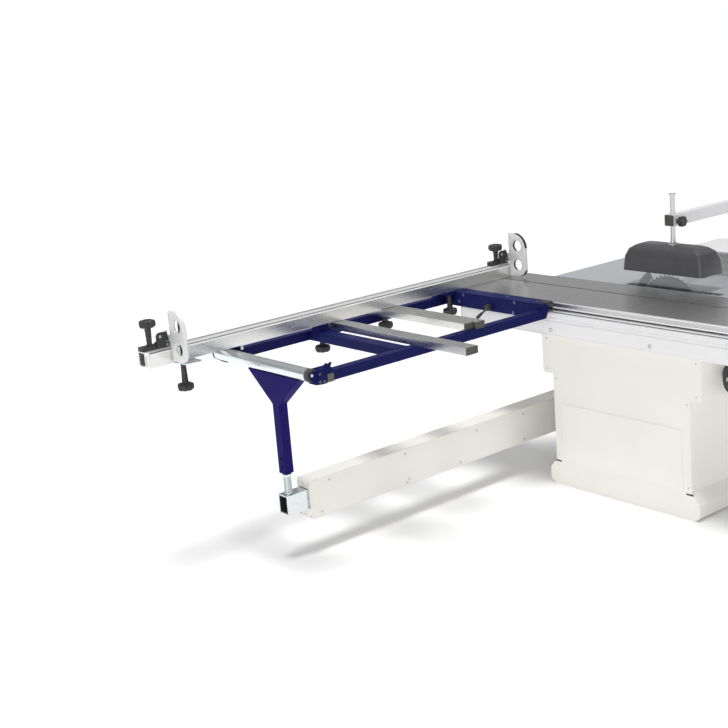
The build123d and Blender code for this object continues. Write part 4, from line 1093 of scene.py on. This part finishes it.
def louvres(bm, y0, y1, z0, count, x, out):
    """Pressed cooling louvres on a side wall."""
    pitch, rise = 13, 5
    for index in range(count):
        z = z0 + index * pitch
        outline = [(x, z), (x + out * 4.5, z + 1), (x + out * 4.5, z + 2), (x, z + rise + 2)]
        prism(bm, outline, "xz", y0, y1)


def cabinet_details():
    """Folded edges, louvres, screws, painted shade strips above the plinth and door latch of the cabinet."""
    a, b = corners("cabinet_left_panel")
    base_low, door_x = low("cabinet_base"), high("cabinet_door").x - 26
    bm = bmesh.new()
    # Edge returns round the left wall: the sheet is folded over the end walls
    for side in (-1, 1):
        for half, z0, z1 in ((372, 120, 519), (430, 521, b.z - 1)):
            y0, y1 = sorted((side * half, side * (half + 1.4)))
            block(bm, (a.x + 6, y0, z0), (a.x + 30, y1, z1))
    place("cabinet_edge_returns", bm, paint_cream, "machine", bevel=0.6)

    shape("door_louvres", paint_cream, "door", (louvres, -130, 130, 220, 9, door_x, 1), bevel=0.5)

    shape("cabinet_screws", metal_screw, "machine",
          *((dome_screw, (a.x + 5.8, y, z), -X_AXIS, 4) for y in (-405, 405) for z in (540, 680)),
          *((dome_screw, (a.x + 5.8, y, z), -X_AXIS, 4) for y in (-357, 357) for z in (140, 500)), angle=30)

    # Painted shade: dark strips for the shadowed slots above the plinth at both corners of the left side
    shape("plinth_painted_shade", plastic_black_and_shade, "machine",
          *((block, (base_low.x - 0.3, y0, 108), (base_low.x + 3, y1, 116))
            for y0, y1 in ((-380, -345), (345, 380))), bevel=0.4)

    outline = rounded(-350, -300, 385, 455, 10)
    shape("door_latch", plastic_black_and_shade, "door",
          (prism, outline, "yz", door_x, door_x + 5),
          (lathe, [(13, 0), (13, 12), (10, 15)], (door_x + 5, -325, 420), X_AXIS, 30),
          (prism, rounded(-331, -319, 384, 456, 6), "yz", door_x + 14, door_x + 24), bevel=1.2)


cabinet_details()


def dust_spigot():
    """Beaded ring of the dust spigot and the screws of its flange."""
    a, b = corners("dust_port")
    centre = middle("dust_port")
    length = b.y - a.y
    shape("dust_spigot_ring", plastic_black_and_shade, "machine",
          (ring_shape, [(47, 0), (50, 0), (50, length - 12), (51.5, length - 9), (51.5, length - 6),
           (50, length - 3), (49.5, length), (47.5, length), (47, length - 2)], (centre.x, a.y, centre.z),
           Y_AXIS, 56), angle=40)
    shape("dust_spigot_screws", metal_screw, "machine",
          *((dome_screw, (x, a.y + 4, z), Y_AXIS, 4.5) for x in (a.x + 10, b.x - 10)
            for z in (a.z + 10, b.z - 10)), angle=30)


dust_spigot()

# ---------------------------------------------------------------- controls


def handwheel(node, body):
    """Three-spoked handwheel with its grip and shaft; gives back the place of its hub."""
    b, c = high(node), middle(node)
    outer, thick, reach = 80, 7.5, 80
    hub, face = Vector((c.x, 0, b.z - outer)), b.y - reach
    bm = bmesh.new()
    turns = [2 * math.pi * step / 14 for step in range(14)]
    rim = [(73 + thick * math.cos(turn), thick * math.sin(turn)) for turn in turns]
    ring_shape(bm, rim, (hub.x, face - 8, hub.z), -Y_AXIS, 64)
    for spoke in range(3):
        angle = math.radians(90 + 120 * spoke)
        direction = Vector((math.cos(angle), 0, math.sin(angle)))
        lathe(bm, [(9, 12), (7, 35), (7.5, 68)], (hub.x, face - 6, hub.z), direction, 16)
    lathe(bm, [(17, -34), (17, -8), (23, 0), (23, 9), (19, 14), (12, 16)], (hub.x, face, hub.z), -Y_AXIS, 40)
    place(f"{node}_rim", bm, plastic_black_and_shade, body, angle=40, stands_for=(node,))
    start = Vector((hub.x, face - 8, hub.z - 72))
    shape(f"{node}_grip", plastic_grip, body,
          (lathe, [(6, 0), (6, 12), (9, 14), (10, 30), (11, 46), (9, 54), (4, 56)], start, -Y_AXIS, 28),
          angle=40)
    shape(f"{node}_shaft", metal_ground, body,
          (lathe, [(11.9, 0), (11.9, 70)], (hub.x, b.y, hub.z), -Y_AXIS, 28),
          (hexagon, (hub.x, face - 15, hub.z), -Y_AXIS, 14, 6), angle=30)
    return hub


def controls():
    """Handwheels with their bearings, and the bezels, caps and screws of the control box."""
    for node, body in (("tilt_handwheel", "tilt_wheel"), ("height_handwheel", "height_wheel")):
        hub = handwheel(node, body)
        wall = low("cabinet_front_panel").y
        shape(f"{node}_bearing", metal_cast, "machine",
              (ring_shape, [(12.5, 0), (24, 0), (24, 3), (21, 5), (12.5, 5)], (hub.x, wall, hub.z), -Y_AXIS,
               40), angle=30)
    a, b = corners("control_box")
    face = bmesh.new()
    for name in ("start_button", "stop_button"):
        c = middle(name)
        ring_shape(face, [(13, 0), (18, 0), (18, 2), (16, 4), (13, 4)], (c.x, a.y, c.z), -Y_AXIS, 40)
    place("button_bezels", face, plastic_black_and_shade, "machine", angle=30)
    c = middle("stop_button")
    shape("stop_button_head", plastic_red, "stop",
          (lathe, [(11.8, 0), (11.8, 18), (18, 19), (20, 22), (20, 25), (17, 28), (9, 30)],
           (c.x, high("stop_button").y, c.z), -Y_AXIS, 44), angle=40, stands_for=("stop_button",))
    c = middle("start_button")
    shape("start_button_cap", plastic_green, "start",
          (lathe, [(11.8, 0), (11.8, 10), (10.5, 12), (7, 11.4)], (c.x, high("start_button").y, c.z), -Y_AXIS,
           40), angle=40, stands_for=("start_button",))
    shape("control_box_screws", metal_screw, "machine",
          *((dome_screw, (x, a.y, z), -Y_AXIS, 3.5) for x in (a.x + 9, b.x - 9) for z in (a.z + 9, b.z - 9)),
          angle=30)


controls()

# ---------------------------------------------------------------- tables and rip fence


def table_details():
    """Screws, slot end pieces and edge strip of the tables."""
    a, b = corners("main_table")
    # Pieces that close both ends of the wide slot beside the blade's path, and screws
    blade = middle("saw_blade")
    slot_left, slot_right = blade.x - 26, blade.x + 17
    shape("table_screws", metal_screw, "machine",
          *((dome_screw, (slot_left - 5, y, b.z - 1.0), Z_AXIS, 3.6) for y in (-215, 275)),
          *((dome_screw, (x, y, b.z - 1.6), Z_AXIS, 5) for y in (a.y + 20, b.y - 20)
            for x in (a.x + 120, b.x - 40)), angle=30)
    shape("slot_end_pieces", metal_ground, "machine",
          *((block, (slot_left, y0, b.z - 5), (slot_right, y1, b.z - 0.4))
            for y0, y1 in ((-225, -218), (278, 285))), bevel=0.3)

    c, d = corners("extension_table")
    shape("extension_table_edging", plastic_cap, "machine",
          (block, (d.x - 1, c.y + 2, d.z - 30), (d.x + 2.5, d.y - 2, d.z - 3)), bevel=0.6)


table_details()


def rip_side():
    """Caps of rail and face, fine adjuster, screws, lever and graduated strip of the rip fence."""
    a, b = corners("rip_rail")
    rail_y, rail_z = a.y + 20, 800
    shape("rip_rail_caps", plastic_cap, "machine",
          *((lathe, [(19.5, -2), (19.5, 1.5), (16, 4)], (x, rail_y, rail_z), direction, 40)
            for x, direction in ((a.x, -X_AXIS), (b.x, X_AXIS))), angle=30)

    c, d = corners("rip_fence_body")
    # Fine adjuster and its knurled ring
    shape("fine_adjuster", plastic_black_and_shade, "rip_fence",
          (lathe, [(13, 0), (15, 2), (15, 20), (12, 22)], (d.x, c.y + 16, c.z + 24), X_AXIS, 72,
           lobed(24, 0.05)), angle=45)
    shape("rip_body_screws", metal_screw, "rip_fence",
          *((hexagon, (c.x + 13, y, d.z), Z_AXIS, 12, 6) for y in (c.y + 60, c.y + 120, c.y + 160)), angle=30)

    lever_low, lever_high, lever = low("rip_fence_lever"), high("rip_fence_lever"), middle("rip_fence_lever")
    top = lever_high.z - 11
    shape("rip_lever_moulded", plastic_black_and_shade, "rip_lever",
          (lathe, [(10.8, 0), (10.8, 24)], (lever_low.x, lever_high.y - 11, top), X_AXIS, 30),
          (lathe, [(5.5, 0), (5, 60), (8, 66), (10, 84), (12, 128), (9, 136), (4, 139)],
           (lever.x, lever_high.y - 13, top), Vector((0, -0.06, -1)), 28),
          angle=40, stands_for=("rip_fence_lever",))

    e, f = corners("rip_fence_face")
    shape("rip_face_caps", plastic_cap, "rip_face",
          *((prism, rounded(e.x + 0.6, f.x - 0.6, e.z + 0.6, f.z - 0.6, 2), "xz", y0, y1)
            for y0, y1 in ((e.y - 3, e.y), (f.y, f.y + 3))), bevel=0.7)

    # Graduated strip along the table's front edge: ticks only
    front = low("main_table").y
    x0, x1 = 120, high("extension_table").x - 20
    shape("table_scale_strip", metal_plate, "machine",
          (block, (x0, front - 1.2, 828), (x1, front, 850)), bevel=0.2)
    shape("table_scale_ticks", plastic_black_and_shade, "machine",
          *((block, (x, front - 1.6, 848 - tall), (x + 0.8, front - 1.1, 848))
            for x, tall in ticks(x0, x1, (12, 9, 6))), angle=30)


rip_side()

# ---------------------------------------------------------------- guard


def guard():
    """Hollow hood with its spindle and clamp, cap of the boom, and bolts and gussets of the mast."""
    a, b = corners("guard_hood")
    x0, x1, y0, y1, z0 = a.x, b.x, a.y, b.y, a.z
    top = z0 + 119
    bm = bmesh.new()

    def shell(inset, base):
        """Outline loops of the hood at a few heights, stepping in towards the top."""
        loops = []
        for height, draw in ((base, 0), (z0 + 62, 4), (z0 + 96, 14), (z0 + 112, 30), (top - inset, 44)):
            d = draw + inset
            points = rounded(x0 + d, x1 - d, y0 + d * 1.6, y1 - d * 1.6, 22, 6)
            loops.append([bm.verts.new((u, v, height)) for u, v in points])
        for one, two in zip(loops, loops[1:]):
            bridge(bm, one, two)
        bm.faces.new(loops[-1])
        return loops[0]

    bridge(bm, shell(0, z0), shell(3.5, z0))
    place("guard_hood_shell", bm, plastic_hood, "hood", angle=30, stands_for=("guard_hood",))

    centre = ((x0 + x1) / 2, (low("guard_boom").y + high("guard_boom").y) / 2)
    shape("hood_spindle", metal_ground, "hood",
          (lathe, [(12, 0), (12, b.z - top - 6), (16, b.z - top - 5.5), (16, b.z - top)], (*centre, top),
           Z_AXIS, 32),
          (lathe, [(26, -4), (26, 3), (22, 6), (14, 9)], (*centre, top), Z_AXIS, 36), angle=30)

    c, d = corners("guard_boom")
    boom_y = (c.y + d.y) / 2
    shape("hood_height_clamp", plastic_black_and_shade, "boom",
          (lathe, [(10, 0), (10, 16), (24, 18), (24, 34), (20, 38)],
           (centre[0], boom_y - 25, (c.z + d.z) / 2), -Y_AXIS, 66, lobed(6, 0.14)), angle=40)
    outline = rounded(boom_y - 24, boom_y + 24, 1136, 1184, 5)
    shape("boom_end_cap", plastic_cap, "boom", (prism, outline, "yz", c.x - 3, c.x), bevel=1)

    e, f = corners("guard_mast")
    mast_x = f.x - 80
    feet = bmesh.new()
    for x in (mast_x - 60, mast_x + 60):
        for y in (e.y + 20, f.y - 20):
            lathe(feet, [(14, 0), (14, 2.5)], (x, y, 12), Z_AXIS, 28)
            hexagon(feet, (x, y, 14), Z_AXIS, 19, 9)
    place("mast_anchor_bolts", feet, metal_screw, "machine", angle=30)
    gussets = bmesh.new()
    mid_y = (e.y + f.y) / 2
    for side in (-1, 1):
        triangle = [(mid_y + side * 30, 12), (mid_y + side * 95, 12), (mid_y + side * 30, 110)]
        prism(gussets, triangle, "yz", mast_x - 3, mast_x + 3)
        triangle = [(mast_x + side * 30, 12), (mast_x + side * 70, 12), (mast_x + side * 30, 100)]
        prism(gussets, triangle, "xz", mid_y - 3, mid_y + 3)
    place("mast_gussets", gussets, paint_navy, "machine", bevel=0.8)


guard()

# ---------------------------------------------------------------- saw unit


def saw_unit():
    """Motor with cooling fins, end rings, fan cowl and terminal box, and the nut on the saw's arbor."""
    a, b, c = low("main_motor"), high("main_motor"), middle("main_motor")

    def ribbed(angle):
        return 1.06 if int(angle / (2 * math.pi) * fins * 4 + 0.5) % 4 < 2 else 1.0

    axis_z = b.z - 72
    axis = Vector((0, c.y, axis_z))
    start, fins = a.x + 12, 40
    body_end = start + 140
    shape("motor_finned", metal_cast, "arbor",
          (lathe, [(66, 0), (66, body_end - start)], axis + X_AXIS * start, X_AXIS, fins * 4, ribbed),
          *((lathe, [(68, 0), (71.5, 2), (71.5, 10), (66, 13)], axis + X_AXIS * x, X_AXIS, 56)
            for x in (start, body_end - 10)),
          (lathe, [(55, -12), (62, -8), (63, 0)], axis + X_AXIS * start, X_AXIS, 48),
          (lathe, [(12, 0), (12, b.x - body_end)], axis + X_AXIS * body_end, X_AXIS, 28),
          (prism, rounded(start + 8, start + 95, c.y - 48, c.y + 48, 6), "xy", a.z, axis_z - 50),
          angle=25, stands_for=("main_motor",))

    blade = middle("saw_blade")
    nut_x = low("main_arbor").x
    shape("arbor_nut", metal_dark_and_shade, "blade_shaft",
          (hexagon, (nut_x + 9, blade.y, blade.z), -X_AXIS, 30, 8), slot="ground_steel", angle=30)


saw_unit()

# ---------------------------------------------------------------- room

SKY_LOW, SKY_MID, SKY_TOP = 0.30, 0.46, 0.72
FLOOR_REACH = 40


def room():
    """Pale floor, even studio light from above, white surroundings."""
    bm = bmesh.new()
    bmesh.ops.create_grid(bm, x_segments=2, y_segments=2, size=FLOOR_REACH)
    mesh = bpy.data.meshes.new("floor")
    bm.to_mesh(mesh)
    bm.free()
    floor = bpy.data.objects.new("floor", mesh)
    bpy.context.scene.collection.objects.link(floor)
    shade = Shade("floor_white", (0.93, 0.93, 0.93), 0.95, 0.0)
    shade.shader.inputs["Specular IOR Level"].default_value = 0.1
    mesh.materials.append(shade.finish(shade.noise(2.0), 0.02, 0.001))

    world = bpy.data.worlds.new("studio")
    bpy.context.scene.world = world
    world.use_nodes = True
    tree = world.node_tree
    background = tree.nodes["Background"]
    place = tree.nodes.new("ShaderNodeTexCoord")
    split = tree.nodes.new("ShaderNodeSeparateXYZ")
    ramp = tree.nodes.new("ShaderNodeValToRGB")
    tree.links.new(place.outputs["Generated"], split.inputs["Vector"])
    tree.links.new(split.outputs["Z"], ramp.inputs["Fac"])
    tree.links.new(ramp.outputs["Color"], background.inputs["Color"])
    # White just above the horizon, greyer sky over it, brighter again overhead
    stops = ((0.0, 1.0), (0.05, 1.0), (0.16, SKY_LOW), (0.34, SKY_LOW), (0.60, SKY_MID), (1.0, SKY_TOP))
    ramp.color_ramp.elements.remove(ramp.color_ramp.elements[0])
    for index, (at, value) in enumerate(stops):
        element = ramp.color_ramp.elements[0] if index == 0 else ramp.color_ramp.elements.new(at)
        element.position, element.color = at, (value, value, value, 1)
    background.inputs["Strength"].default_value = 1.0

    def sun(name, heading, strength, spread):
        data = bpy.data.lights.new(name, "SUN")
        data.energy, data.angle = strength, math.radians(spread)
        light = bpy.data.objects.new(name, data)
        light.rotation_euler = Vector(heading).to_track_quat("-Z", "Y").to_euler()
        bpy.context.scene.collection.objects.link(light)

    sun("overhead", (0.03, 0.10, -1.0), 2.05, 18)
    sun("front_fill", (0.80, 0.42, -0.22), 0.75, 40)


room()
bpy.context.scene.view_settings.view_transform = "Standard"
bpy.context.scene.view_settings.look = "None"
bpy.context.scene.view_settings.exposure = 0.0
